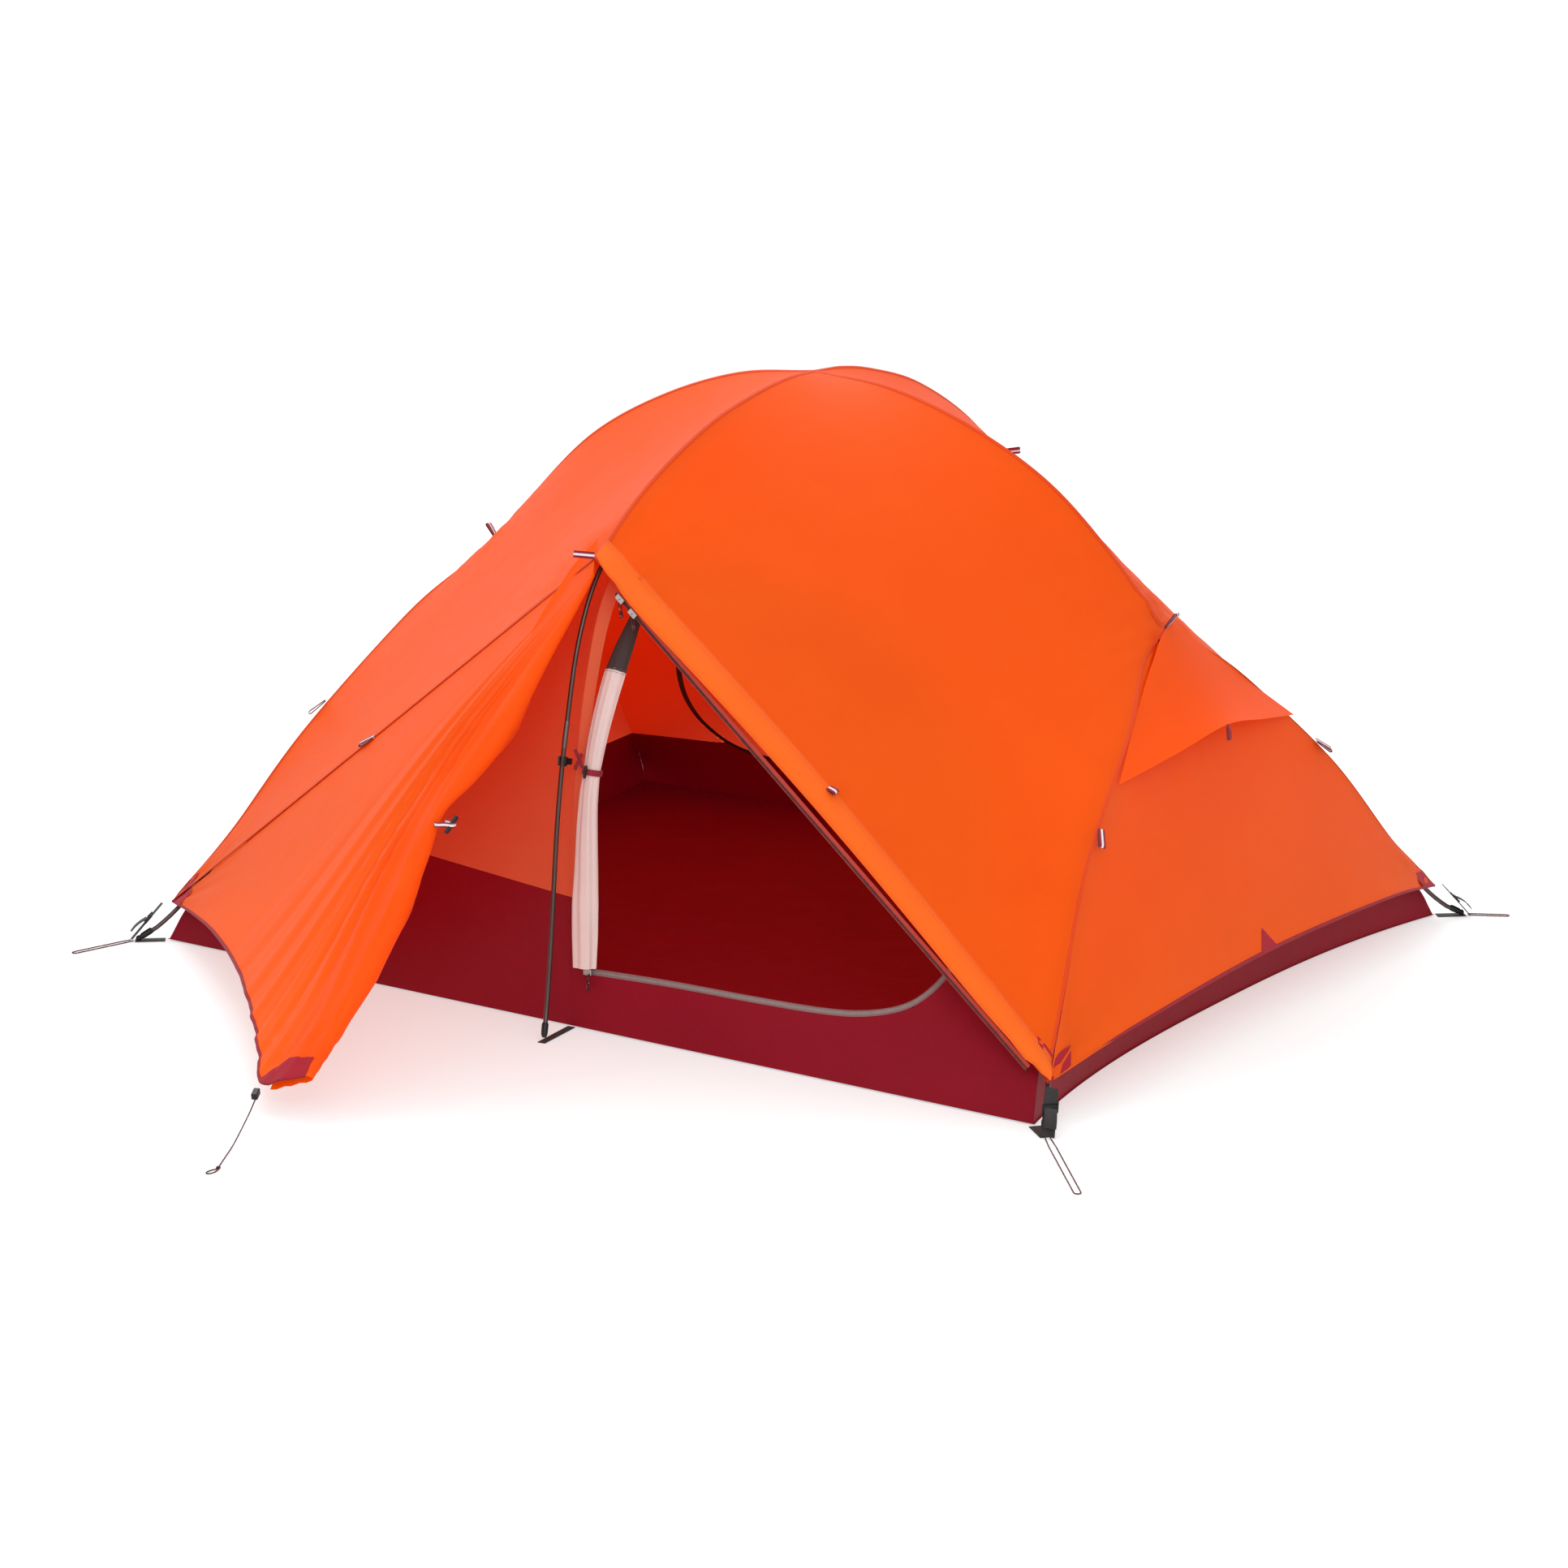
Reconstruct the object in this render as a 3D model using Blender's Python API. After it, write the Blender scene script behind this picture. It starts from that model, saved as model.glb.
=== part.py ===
"""Two-door dome tent, pitched: crossing poles on two hubs, an inner tent with a tub floor,
and a fly sheet over it with the near vestibule tied back and the far vestibule zipped shut.

Metres, +Z up. The origin is the middle of the floor, on the ground. X runs along the long
side and the near door faces -Y.
"""

import math

import bmesh
import bpy
import numpy as np
from mathutils import Matrix, Vector

# Driving dimensions
FLOOR_LENGTH = 2.13
FLOOR_WIDTH = 1.728
FLY_PEAK = 1.205
INNER_PEAK = 1.14
TUB_HEIGHT_AT_DOOR = 0.264
TUB_HEIGHT_AT_CORNER = 0.155
HUB_X = 0.84
HUB_Z = 0.755
TIP_X = 1.107
TIP_Y = 0.9
DOOR_TOP = Vector((0.0, -0.772, 0.925))
FLY_CORNER = Vector((1.075, -0.835, 0.076))
VESTIBULE_REACH = 1.60

# Stock the tent is made from
POLE_RADIUS = 0.00475
SOCKET_RADIUS = 0.008
CLOTH = 0.0015
FLY_TENSION = 1.0
INNER_TENSION = 0.75
CLOSED_HOOD_GAP = 0.006
GAP = 0.0003
WEBBING_WIDTH = 0.025
WEBBING = 0.0016
CORD_RADIUS = 0.00125
ZIP_WIDTH = 0.014
ZIP_INSET = 0.005

CENTRE = Vector((0, 0, 0.3))
HALF_LENGTH = FLOOR_LENGTH / 2
HALF_WIDTH = FLOOR_WIDTH / 2


def clear_scene():
    for obj in list(bpy.data.objects):
        bpy.data.objects.remove(obj, do_unlink=True)


def material(name, colour, roughness, metallic=0.0):
    mat = bpy.data.materials.get(name) or bpy.data.materials.new(name)
    mat.use_nodes = True
    shader = mat.node_tree.nodes["Principled BSDF"]
    shader.inputs["Base Color"].default_value = (*colour, 1)
    shader.inputs["Roughness"].default_value = roughness
    shader.inputs["Metallic"].default_value = metallic
    return mat


clear_scene()
FLY_CLOTH = material("fly_cloth", (1.0, 0.16, 0.02), 0.55)
CANOPY_CLOTH = material("canopy_cloth", (1.0, 0.36, 0.2), 0.7)
TUB_CLOTH = material("tub_cloth", (0.3, 0.01, 0.03), 0.6)
DOOR_CLOTH = material("door_cloth", (0.85, 0.68, 0.66), 0.8)
WEBBING_MAT = material("webbing", (0.06, 0.05, 0.045), 0.8)
TRIM_MAT = material("red_trim", (0.28, 0.01, 0.04), 0.7)
POLE_MAT = material("pole_alloy", (0.09, 0.07, 0.06), 0.35, 1.0)
PLASTIC_MAT = material("black_plastic", (0.03, 0.025, 0.025), 0.45)
CORD_MAT = material("cord", (0.3, 0.05, 0.06), 0.8)
ZIP_MAT = material("zip", (0.16, 0.11, 0.1), 0.5)


# ---- Curves and surfaces -------------------------------------------------------------------


def curve_through(points, steps=16):
    """A smooth curve through the points, as a function of 0 to 1 along its length."""
    pts = [Vector(p) for p in points]
    pts = [2 * pts[0] - pts[1], *pts, 2 * pts[-1] - pts[-2]]
    dense = []
    for a, b, c, d in zip(pts, pts[1:], pts[2:], pts[3:]):
        for i in range(steps):
            t = i / steps
            dense.append(
                b
                + (c - a) * (0.5 * t)
                + (2 * a - 5 * b + 4 * c - d) * (0.5 * t * t)
                + (3 * b - a - 3 * c + d) * (0.5 * t**3)
            )
    dense.append(pts[-2])
    along = [0.0]
    for a, b in zip(dense, dense[1:]):
        along.append(along[-1] + (b - a).length)

    def at(t):
        target = max(0.0, min(1.0, t)) * along[-1]
        i = 1
        while i < len(along) - 1 and along[i] < target:
            i += 1
        share = (target - along[i - 1]) / (along[i] - along[i - 1])
        return dense[i - 1].lerp(dense[i], share)

    return at


def patch(top, bottom, left, right):
    """A Coons patch: u runs left to right, v runs top to bottom."""

    def at(u, v):
        across = top(u) * (1 - v) + bottom(u) * v
        down = left(v) * (1 - u) + right(v) * u
        corners = (top(0) * (1 - u) + top(1) * u) * (1 - v)
        corners = corners + (bottom(0) * (1 - u) + bottom(1) * u) * v
        return across + down - corners

    return at


def taut(surface, share, cells=24, rounds=500):
    """The surface pulled tight between its edges, as stretched cloth is.

    Each inner point settles at the mean of its neighbours. share says how far it goes there.
    """
    loose = np.array(
        [[surface(i / cells, j / cells) for j in range(cells + 1)] for i in range(cells + 1)]
    )
    tight = loose.copy()
    weight_u = 1 / np.linalg.norm(np.diff(loose, axis=0), axis=2).mean() ** 2
    weight_v = 1 / np.linalg.norm(np.diff(loose, axis=1), axis=2).mean() ** 2
    for _ in range(rounds):
        pull_u = (tight[2:, 1:-1] + tight[:-2, 1:-1]) * weight_u
        pull_v = (tight[1:-1, 2:] + tight[1:-1, :-2]) * weight_v
        tight[1:-1, 1:-1] = (pull_u + pull_v) / (2 * (weight_u + weight_v))
    points = loose * (1 - share) + tight * share

    def at(u, v):
        i = min(int(u * cells), cells - 1)
        j = min(int(v * cells), cells - 1)
        a, b = u * cells - i, v * cells - j
        low = points[i, j] * (1 - b) + points[i, j + 1] * b
        high = points[i + 1, j] * (1 - b) + points[i + 1, j + 1] * b
        return Vector(low * (1 - a) + high * a)

    return at


def turned(surface_or_curve):
    """The same curve or surface, turned half a turn about Z."""

    def at(*where):
        p = surface_or_curve(*where)
        return Vector((-p.x, -p.y, p.z))

    return at


def flipped(surface_or_curve, x=1, y=1):
    """The same curve or surface, mirrored by the signs given."""

    def at(*where):
        p = surface_or_curve(*where)
        return Vector((p.x * x, p.y * y, p.z))

    return at


def grid_of(surface, columns, rows, trim_u=0.0, trim_v=0.0):
    grid = []
    for i in range(columns + 1):
        u = trim_u + (1 - 2 * trim_u) * i / columns
        grid.append([surface(u, trim_v + (1 - 2 * trim_v) * j / rows) for j in range(rows + 1)])
    return grid


# ---- Solids --------------------------------------------------------------------------------


def add_object(name, mesh, mat, smooth=True):
    obj = bpy.data.objects.new(name, mesh)
    bpy.context.collection.objects.link(obj)
    mesh.materials.append(mat)
    if smooth:
        mesh.shade_smooth()
        mesh.set_sharp_from_angle(angle=math.radians(40))
    return obj


def mesh_from(name, vertices, faces):
    mesh = bpy.data.meshes.new(name)
    mesh.from_pydata([tuple(v) for v in vertices], [], faces)
    bm = bmesh.new()
    bm.from_mesh(mesh)
    bmesh.ops.recalc_face_normals(bm, faces=bm.faces)
    bm.to_mesh(mesh)
    bm.free()
    return mesh


def sheet(name, grid, mat, thickness=CLOTH, outward_from=CENTRE):
    """A closed sheet whose outer face is the grid and whose thickness goes inwards.

    Both faces are split along the same diagonals, so they stay one thickness apart.
    """
    columns, rows = len(grid), len(grid[0])
    front, back = [], []
    for i in range(columns):
        for j in range(rows):
            across = grid[min(i + 1, columns - 1)][j] - grid[max(i - 1, 0)][j]
            down = grid[i][min(j + 1, rows - 1)] - grid[i][max(j - 1, 0)]
            normal = across.cross(down).normalized()
            if normal.dot(grid[i][j] - outward_from) < 0:
                normal.negate()
            front.append(grid[i][j])
            back.append(grid[i][j] - normal * thickness)
    shift = len(front)
    faces = []
    for i in range(columns - 1):
        for j in range(rows - 1):
            a = i * rows + j
            quad = (a, a + 1, a + rows + 1, a + rows)
            if (front[quad[0]] - front[quad[2]]).length < (front[quad[1]] - front[quad[3]]).length:
                halves = (quad[:3], (quad[0], quad[2], quad[3]))
            else:
                halves = ((quad[0], quad[1], quad[3]), quad[1:])
            for half in halves:
                faces.append(half)
                faces.append(tuple(shift + k for k in reversed(half)))
    rim = [i * rows for i in range(columns)]
    rim += [(columns - 1) * rows + j for j in range(1, rows)]
    rim += [i * rows + rows - 1 for i in range(columns - 2, -1, -1)]
    rim += [j for j in range(rows - 2, 0, -1)]
    for a, b in zip(rim, rim[1:] + rim[:1]):
        faces.append((a, b, shift + b, shift + a))
    return add_object(name, mesh_from(name, front + back, faces), mat)


def swept(name, path, radii, sides, mat, flat=None):
    """A closed rod along the path. With flat, it is a strip: flat gives its half width vector."""
    vertices, faces = [], []
    count = len(path)
    side = None
    for k, point in enumerate(path):
        ahead = (path[min(k + 1, count - 1)] - path[max(k - 1, 0)]).normalized()
        if flat is not None:
            width = flat(k) if callable(flat) else flat
            radius = radii[k] if count == len(radii) else radii[0]
            normal = ahead.cross(width).normalized() * radius
            ring = [point + width + normal, point - width + normal]
            ring += [point - width - normal, point + width - normal]
        else:
            if side is None:
                side = ahead.orthogonal().normalized()
            side = (side - ahead * side.dot(ahead)).normalized()
            other = ahead.cross(side)
            radius = radii[k] if count == len(radii) else radii[0]
            ring = []
            for s in range(sides):
                angle = 2 * math.pi * s / sides
                ring.append(point + (side * math.cos(angle) + other * math.sin(angle)) * radius)
        vertices += ring
    ring_size = len(vertices) // count
    for k in range(count - 1):
        for s in range(ring_size):
            a = k * ring_size + s
            b = k * ring_size + (s + 1) % ring_size
            faces.append((a, b, b + ring_size, a + ring_size))
    faces.append(tuple(range(ring_size)))
    faces.append(tuple(range((count - 1) * ring_size, count * ring_size)))
    return add_object(name, mesh_from(name, vertices, faces), mat)


def along_curve(curve, count, start=0.0, end=1.0):
    return [curve(start + (end - start) * k / (count - 1)) for k in range(count)]


def boolean(obj, cutter, operation, solver="EXACT"):
    modifier = obj.modifiers.new("cut", "BOOLEAN")
    modifier.operation = operation
    modifier.solver = solver
    modifier.object = cutter
    cutter.hide_render = True
    cutter.display_type = "WIRE"


def cord(name, points, mat=CORD_MAT):
    """A free cord: a round tube on one open spline through the points."""
    data = bpy.data.curves.new(name, "CURVE")
    data.dimensions = "3D"
    data.bevel_depth = CORD_RADIUS
    data.bevel_resolution = 2
    data.use_fill_caps = True
    spline = data.splines.new("POLY")
    spline.points.add(len(points) - 1)
    for point, place in zip(spline.points, points):
        point.co = (*place, 1)
    data.materials.append(mat)
    obj = bpy.data.objects.new(name, data)
    bpy.context.collection.objects.link(obj)
    return obj


def set_origin(obj, place):
    """Puts the object's own origin on its joint axis, with its mesh left where it is."""
    obj.data.transform(Matrix.Translation(-Vector(place)))
    obj.location = place


# ---- Guide curves of the fly sheet ---------------------------------------------------------

fly_ridge = curve_through(
    [
        (0, 0, FLY_PEAK),
        (0.19, 0, 1.186),
        (0.39, 0, 1.121),
        (0.58, 0, 1.018),
        (0.75, 0, 0.862),
        (HUB_X, 0, HUB_Z),
    ]
)
fly_arc = curve_through(
    [
        (0, 0, FLY_PEAK),
        (0, -0.1, 1.203),
        (0, -0.22, 1.185),
        (0, -0.395, 1.139),
        (0, -0.6, 1.045),
        DOOR_TOP,
    ]
)
fly_leg = curve_through(
    [
        (HUB_X, 0, HUB_Z),
        (0.865, -0.13, 0.7),
        (0.915, -0.266, 0.6),
        (0.972, -0.522, 0.4),
        (1.03, -0.705, 0.2),
        FLY_CORNER,
    ]
)
fly_door_edge = curve_through([DOOR_TOP, DOOR_TOP.lerp(FLY_CORNER, 0.5), FLY_CORNER])
fly_end_hem = curve_through(
    [
        FLY_CORNER,
        (1.1, -0.55, 0.116),
        (1.1, 0, 0.133),
        (1.1, 0.55, 0.116),
        Vector((FLY_CORNER.x, -FLY_CORNER.y, FLY_CORNER.z)),
    ]
)


def make_fly_panels():
    side = taut(patch(fly_ridge, fly_door_edge, fly_arc, fly_leg), FLY_TENSION)
    for name, x, y in (
        ("fly_near_right", 1, 1),
        ("fly_near_left", -1, 1),
        ("fly_far_right", 1, -1),
        ("fly_far_left", -1, -1),
    ):
        sheet(name, grid_of(flipped(side, x, y), 10, 8, 0.004, 0.005), FLY_CLOTH)


def fly_end_surface():
    """Each end is four-sided: a short edge at the hub, the two leg seams and the hem."""
    start = 0.045
    near = lambda v: fly_leg(start + (1 - start) * v)
    far = lambda v: flipped(fly_leg, 1, -1)(start + (1 - start) * v)
    top = curve_through([near(0), near(0).lerp(far(0), 0.5), far(0)])
    return taut(patch(top, fly_end_hem, near, far), FLY_TENSION)


def make_fly_ends():
    end = fly_end_surface()
    for name, x in (("fly_end_right", 1), ("fly_end_left", -1)):
        sheet(name, grid_of(flipped(end, x), 8, 8, 0.005, 0.006), FLY_CLOTH)


def propped_hood(hub):
    """The hood with its lower edge held out by its stiffener, so that air passes under it."""
    tip = Vector((0.995, 0, 0.586))
    foot = Vector((0.972, -0.3, 0.556))
    shoulder = Vector((0.874, -0.05, 0.752))
    other_foot = Vector((foot.x, -foot.y, foot.z))
    other_shoulder = Vector((shoulder.x, -shoulder.y, shoulder.z))
    top = curve_through([shoulder, hub + Vector((0.012, 0, 0)), other_shoulder])
    lower = curve_through(
        [foot, foot.lerp(tip, 0.6), tip, other_foot.lerp(tip, 0.6), other_foot]
    )
    near = curve_through([shoulder, shoulder.lerp(foot, 0.5), foot])
    far = curve_through([other_shoulder, other_shoulder.lerp(other_foot, 0.5), other_foot])
    return patch(top, lower, near, far)


def closed_hood():
    """The hood lying shut, a few millimetres outside the end panel."""
    end = fly_end_surface()

    def at(u, v):
        across, down = 0.1 + 0.8 * u, 0.03 + 0.3 * v
        p = end(across, down)
        normal = (end(across + 0.04, down) - p).cross(end(across, down + 0.04) - p).normalized()
        return p + normal * math.copysign(CLOSED_HOOD_GAP, normal.x)

    return at


def make_vent_hoods():
    """A hood under each hub. The right one is propped open and the left one lies closed."""
    hub = Vector((0.862, 0, 0.764))
    for name, x, hood in (
        ("vent_hood_right", 1, propped_hood(hub)),
        ("vent_hood_left", -1, closed_hood()),
    ):
        obj = sheet(name, grid_of(flipped(hood, x), 8, 4), FLY_CLOTH)
        set_origin(obj, (x * hub.x, 0, hub.z))


# Lower edge of one vestibule half, as shares of the way from the fly corner to its point, with
# how far the curved hem is drawn up and in from the straight line between them.
HEM_RISE = ((0.15, 0.022), (0.35, 0.043), (0.58, 0.05), (0.8, 0.034), (0.92, 0.016))


def vestibule_hem(corner, point):
    line = [corner]
    for share, rise in HEM_RISE:
        inwards = -rise if corner.y > 0 else rise
        line.append(corner.lerp(point, share) + Vector((0, inwards, rise)))
    line.append(point)
    return line


VESTIBULE_POINT = Vector((-0.158, -1.599, 0.05))
TIED_EDGE_FOOT = Vector((-0.06, -1.59, 0.08))
CORD_START = VESTIBULE_POINT + Vector((0.006, -0.012, -0.008))
CORD_RUN = Vector((0.04, -0.078, -0.021))


def make_near_vestibule():
    """The near vestibule is open: its door half is gathered and tied back to the left half."""
    top_left = DOOR_TOP + Vector((-0.03, -0.01, -0.034))
    top_right = DOOR_TOP + Vector((0.012, -0.022, -0.034))
    corner = Vector((-FLY_CORNER.x, FLY_CORNER.y, FLY_CORNER.z)) + Vector((0.012, -0.012, -0.006))
    seam = curve_through([top_left, top_left.lerp(corner, 0.5) + Vector((0, -0.004, 0)), corner])
    middle = top_right.lerp(TIED_EDGE_FOOT, 0.5) + Vector((-0.035, 0, 0.02))
    free_edge = curve_through([top_right, middle, TIED_EDGE_FOOT])
    top = curve_through([top_left, top_left.lerp(top_right, 0.5), top_right])
    hem = curve_through(vestibule_hem(corner, VESTIBULE_POINT) + [TIED_EDGE_FOOT])
    sheet("vestibule_near", grid_of(patch(top, hem, seam, free_edge), 12, 9), FLY_CLOTH)


def make_far_vestibule():
    """The far vestibule is zipped shut: two halves that meet on the line down to its point."""
    point = Vector((0, VESTIBULE_REACH, 0.05))
    top_mid = Vector((0, -DOOR_TOP.y + 0.03, DOOR_TOP.z - 0.05))
    columns = []
    for x in (-1, 1):
        top_side = Vector((x * 0.045, -DOOR_TOP.y + 0.012, DOOR_TOP.z - 0.05))
        corner = Vector((x * (FLY_CORNER.x - 0.012), -FLY_CORNER.y + 0.012, FLY_CORNER.z - 0.006))
        seam = curve_through([top_side, top_side.lerp(corner, 0.5) + Vector((0, 0.004, 0)), corner])
        crest = curve_through([top_mid, top_mid.lerp(point, 0.5), point])
        top = curve_through([top_side, top_side.lerp(top_mid, 0.5), top_mid])
        hem = curve_through(vestibule_hem(corner, point))
        half = grid_of(patch(top, hem, seam, crest), 8, 8)
        columns += half if x < 0 else half[-2::-1]
    sheet("vestibule_far", columns, FLY_CLOTH)


# ---- Inner tent ----------------------------------------------------------------------------

inner_ridge = curve_through(
    [(0, 0, INNER_PEAK), (0.38, 0, 1.065), (0.57, 0, 0.96), (0.7, 0, 0.845), (0.775, 0, 0.73)]
)
inner_arc = curve_through(
    [
        (0, 0, INNER_PEAK),
        (0, -0.38, 1.065),
        (0, -0.6, 0.965),
        (0, -0.735, 0.86),
        (0, -0.8, 0.7),
        (0, -0.838, 0.5),
        (0, -0.857, TUB_HEIGHT_AT_DOOR),
        (0, -HALF_WIDTH, 0.003),
    ]
)
inner_leg = curve_through(
    [
        (0.775, 0, 0.73),
        (0.85, -0.25, 0.58),
        (0.92, -0.5, 0.38),
        (0.985, -0.68, 0.2),
        (1.04, -0.81, 0.08),
        (HALF_LENGTH - 0.004, -HALF_WIDTH + 0.003, 0.003),
    ]
)
END_CUT_IN = 0.08


def end_edge_x(y):
    """The short floor edges are pulled in between the corners."""
    return HALF_LENGTH - END_CUT_IN * (1 - (abs(y) / HALF_WIDTH) ** 2.6)


floor_side = curve_through(
    [
        (0, -HALF_WIDTH, 0.003),
        (0.5, -HALF_WIDTH, 0.003),
        (HALF_LENGTH - 0.004, -HALF_WIDTH + 0.003, 0.003),
    ]
)
floor_end = curve_through(
    [
        (end_edge_x(y) - 0.004, y * 0.9965, 0.003)
        for y in (-HALF_WIDTH, -0.75, -0.6, -0.4, -0.2, 0, 0.2, 0.4, 0.6, 0.75, HALF_WIDTH)
    ]
)
inner_side = taut(patch(inner_ridge, floor_side, inner_arc, inner_leg), INNER_TENSION)


def door_side_tub_height(u):
    """The tub wall is tall beside the door and drops towards the corners."""
    drop = min(1.0, max(0.0, (u - 0.42) / 0.36))
    drop = drop * drop * (3 - 2 * drop)
    return TUB_HEIGHT_AT_DOOR + (TUB_HEIGHT_AT_CORNER - TUB_HEIGHT_AT_DOOR) * drop


def split_at_height(surface, columns, rows_above, rows_below, height, trim_u):
    """Cuts a wall surface at one height into the canopy above and the tub wall below."""
    above, below = [], []
    for i in range(columns + 1):
        u = trim_u + (1 - 2 * trim_u) * i / columns
        low, high = 0.0, 1.0
        for _ in range(30):
            middle = (low + high) / 2
            if surface(u, middle).z > height(u):
                low = middle
            else:
                high = middle
        gap = 0.0012
        top = 0.004
        span = low - gap - top
        above.append([surface(u, top + span * j / rows_above) for j in range(rows_above + 1)])
        start = low + gap
        span = 1 - start
        below.append([surface(u, start + span * j / rows_below) for j in range(rows_below + 1)])
    return above, below


# The D-shaped inner door, in the near right wall: points of its outline seen from outside.
DOOR_OUTLINE = (
    (0.012, 0.112),
    (0.2, 0.112),
    (0.4, 0.108),
    (0.56, 0.109),
    (0.66, 0.118),
    (0.74, 0.142),
    (0.786, 0.184),
    (0.806, 0.238),
    (0.8, 0.31),
    (0.76, 0.405),
    (0.65, 0.56),
    (0.48, 0.7),
    (0.26, 0.81),
    (0.012, 0.868),
)


def door_prism(name, inset, turn):
    """A closed prism with the door's outline, straight through the wall along Y."""
    outline = curve_through([(x, 0, z) for x, z in DOOR_OUTLINE])
    ring = along_curve(outline, 30)
    middle = Vector((0.4, 0, 0.45))
    vertices = []
    for y in (-1.2, -0.3):
        for p in ring:
            inward = (middle - p).normalized() * inset
            vertices.append(Vector((p.x + inward.x, y, p.z + inward.z)))
    if turn:
        vertices = [Vector((-p.x, -p.y, p.z)) for p in vertices]
    count = len(ring)
    faces = [tuple(range(count)), tuple(range(2 * count - 1, count - 1, -1))]
    for k in range(count):
        a, b = k, (k + 1) % count
        faces.append((a, b, b + count, a + count))
    obj = add_object(name, mesh_from(name, vertices, faces), ZIP_MAT)
    obj.hide_render = True
    obj.display_type = "WIRE"
    return obj


def wall_point(x, z, stand_off=0.0):
    """The point of the near right inner wall at this x and z, moved out by stand_off."""
    u, v = x / HALF_LENGTH, 1 - z / INNER_PEAK
    step = 1e-4
    for _ in range(12):
        p = inner_side(u, v)
        du = (inner_side(u + step, v) - p) / step
        dv = (inner_side(u, v + step) - p) / step
        det = du.x * dv.z - dv.x * du.z
        error_x, error_z = x - p.x, z - p.z
        u = min(0.995, max(0.0, u + (error_x * dv.z - dv.x * error_z) / det))
        v = min(0.995, max(0.0, v + (du.x * error_z - error_x * du.z) / det))
    p = inner_side(u, v)
    normal = (inner_side(u + step, v) - p).cross(inner_side(u, v + step) - p).normalized()
    if normal.y > 0:
        normal.negate()
    return p + normal * stand_off


def make_inner_walls():
    above, below = split_at_height(inner_side, 12, 8, 3, door_side_tub_height, 0.003)
    place = {"near_right": (1, 1), "near_left": (-1, 1), "far_right": (1, -1), "far_left": (-1, -1)}
    for side, (x, y) in place.items():
        for kind, grid, mat in (("canopy", above, CANOPY_CLOTH), ("tub", below, TUB_CLOTH)):
            moved = [[Vector((p.x * x, p.y * y, p.z)) for p in row] for row in grid]
            obj = sheet(f"{kind}_{side}", moved, mat)
            if side in ("near_right", "far_left"):
                opening = door_prism(f"{kind}_{side}_cut", 0.0, side == "far_left")
                boolean(obj, opening, "DIFFERENCE", "MANIFOLD")


def make_inner_ends():
    near = lambda v: inner_leg(0.05 + 0.95 * v)
    far = lambda v: flipped(inner_leg, 1, -1)(0.05 + 0.95 * v)
    top = curve_through([near(0), near(0).lerp(far(0), 0.5), far(0)])
    end = taut(patch(top, floor_end, near, far), INNER_TENSION)
    above, below = split_at_height(end, 10, 6, 2, lambda u: TUB_HEIGHT_AT_CORNER, 0.006)
    for side, x in (("right", 1), ("left", -1)):
        for kind, grid, mat in (
            ("canopy_end", above, CANOPY_CLOTH),
            ("tub_end", below, TUB_CLOTH),
        ):
            moved = [[Vector((p.x * x, p.y, p.z)) for p in row] for row in grid]
            sheet(f"{kind}_{side}", moved, mat)


def make_floor():
    """The floor sheet, with its short edges pulled in between the corners."""
    rows = 20
    grid = []
    for i in range(5):
        share = -1 + i / 2
        column = []
        for j in range(rows + 1):
            y = -HALF_WIDTH + FLOOR_WIDTH * j / rows
            column.append(Vector((share * end_edge_x(y), y, CLOTH)))
        grid.append(column)
    sheet("floor", grid, TUB_CLOTH, outward_from=Vector((0, 0, -1)))


def make_inner_doors():
    """The far door is zipped shut. The near one is rolled up and hangs beside its opening."""
    full = grid_of(turned(inner_side), 10, 10, 0.003, 0.004)
    panel = sheet("inner_door_far", full, CANOPY_CLOTH)
    outline = door_prism("inner_door_far_outline", ZIP_INSET + ZIP_WIDTH + 0.006, True)
    boolean(panel, outline, "INTERSECT", "MANIFOLD")
    roll = curve_through(
        [
            wall_point(0.05, 0.83, 0.02),
            wall_point(0.044, 0.68, 0.026),
            wall_point(0.034, 0.5, 0.027),
            wall_point(0.044, 0.3, 0.029),
            wall_point(0.052, 0.135, 0.029),
        ]
    )
    radii = [0.006, 0.01, 0.014, 0.018, 0.02, 0.02, 0.0175]
    radii += [0.019, 0.022, 0.024, 0.025, 0.025, 0.024]
    swept("inner_door_near", along_curve(roll, len(radii)), radii, 10, DOOR_CLOTH)
    make_door_tie(roll(0.5), (roll(0.47) - roll(0.53)).normalized())


def make_door_tie(centre, axis):
    """The tape that is buttoned round the rolled door."""
    side = Vector((1, 0, 0))
    front = axis.cross(side).normalized()
    inner, outer, half = 0.0192, 0.0209, 0.011
    steps = 16
    vertices, faces = [], []
    for k in range(steps):
        angle = 2 * math.pi * k / steps
        ray = side * math.cos(angle) + front * math.sin(angle)
        for radius, height in ((inner, -half), (outer, -half), (outer, half), (inner, half)):
            vertices.append(centre + ray * radius + axis * height)
    for k in range(steps):
        for s in range(4):
            a, b = 4 * k + s, 4 * k + (s + 1) % 4
            shift = 4 * ((k + 1) % steps) - 4 * k
            faces.append((a, b, b + shift, a + shift))
    add_object("door_tie", mesh_from("door_tie", vertices, faces), TRIM_MAT)


def zip_path(inset, turn, start=0.0, end=1.0, count=26, stand_off=0.0):
    outline = curve_through([(x, 0, z) for x, z in DOOR_OUTLINE])
    middle = Vector((0.4, 0, 0.45))
    points = []
    for flat in along_curve(outline, count, start, end):
        flat = flat + (middle - flat).normalized() * inset
        p = wall_point(flat.x, flat.z, stand_off)
        points.append(Vector((-p.x, -p.y, p.z)) if turn else p)
    return points


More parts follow.
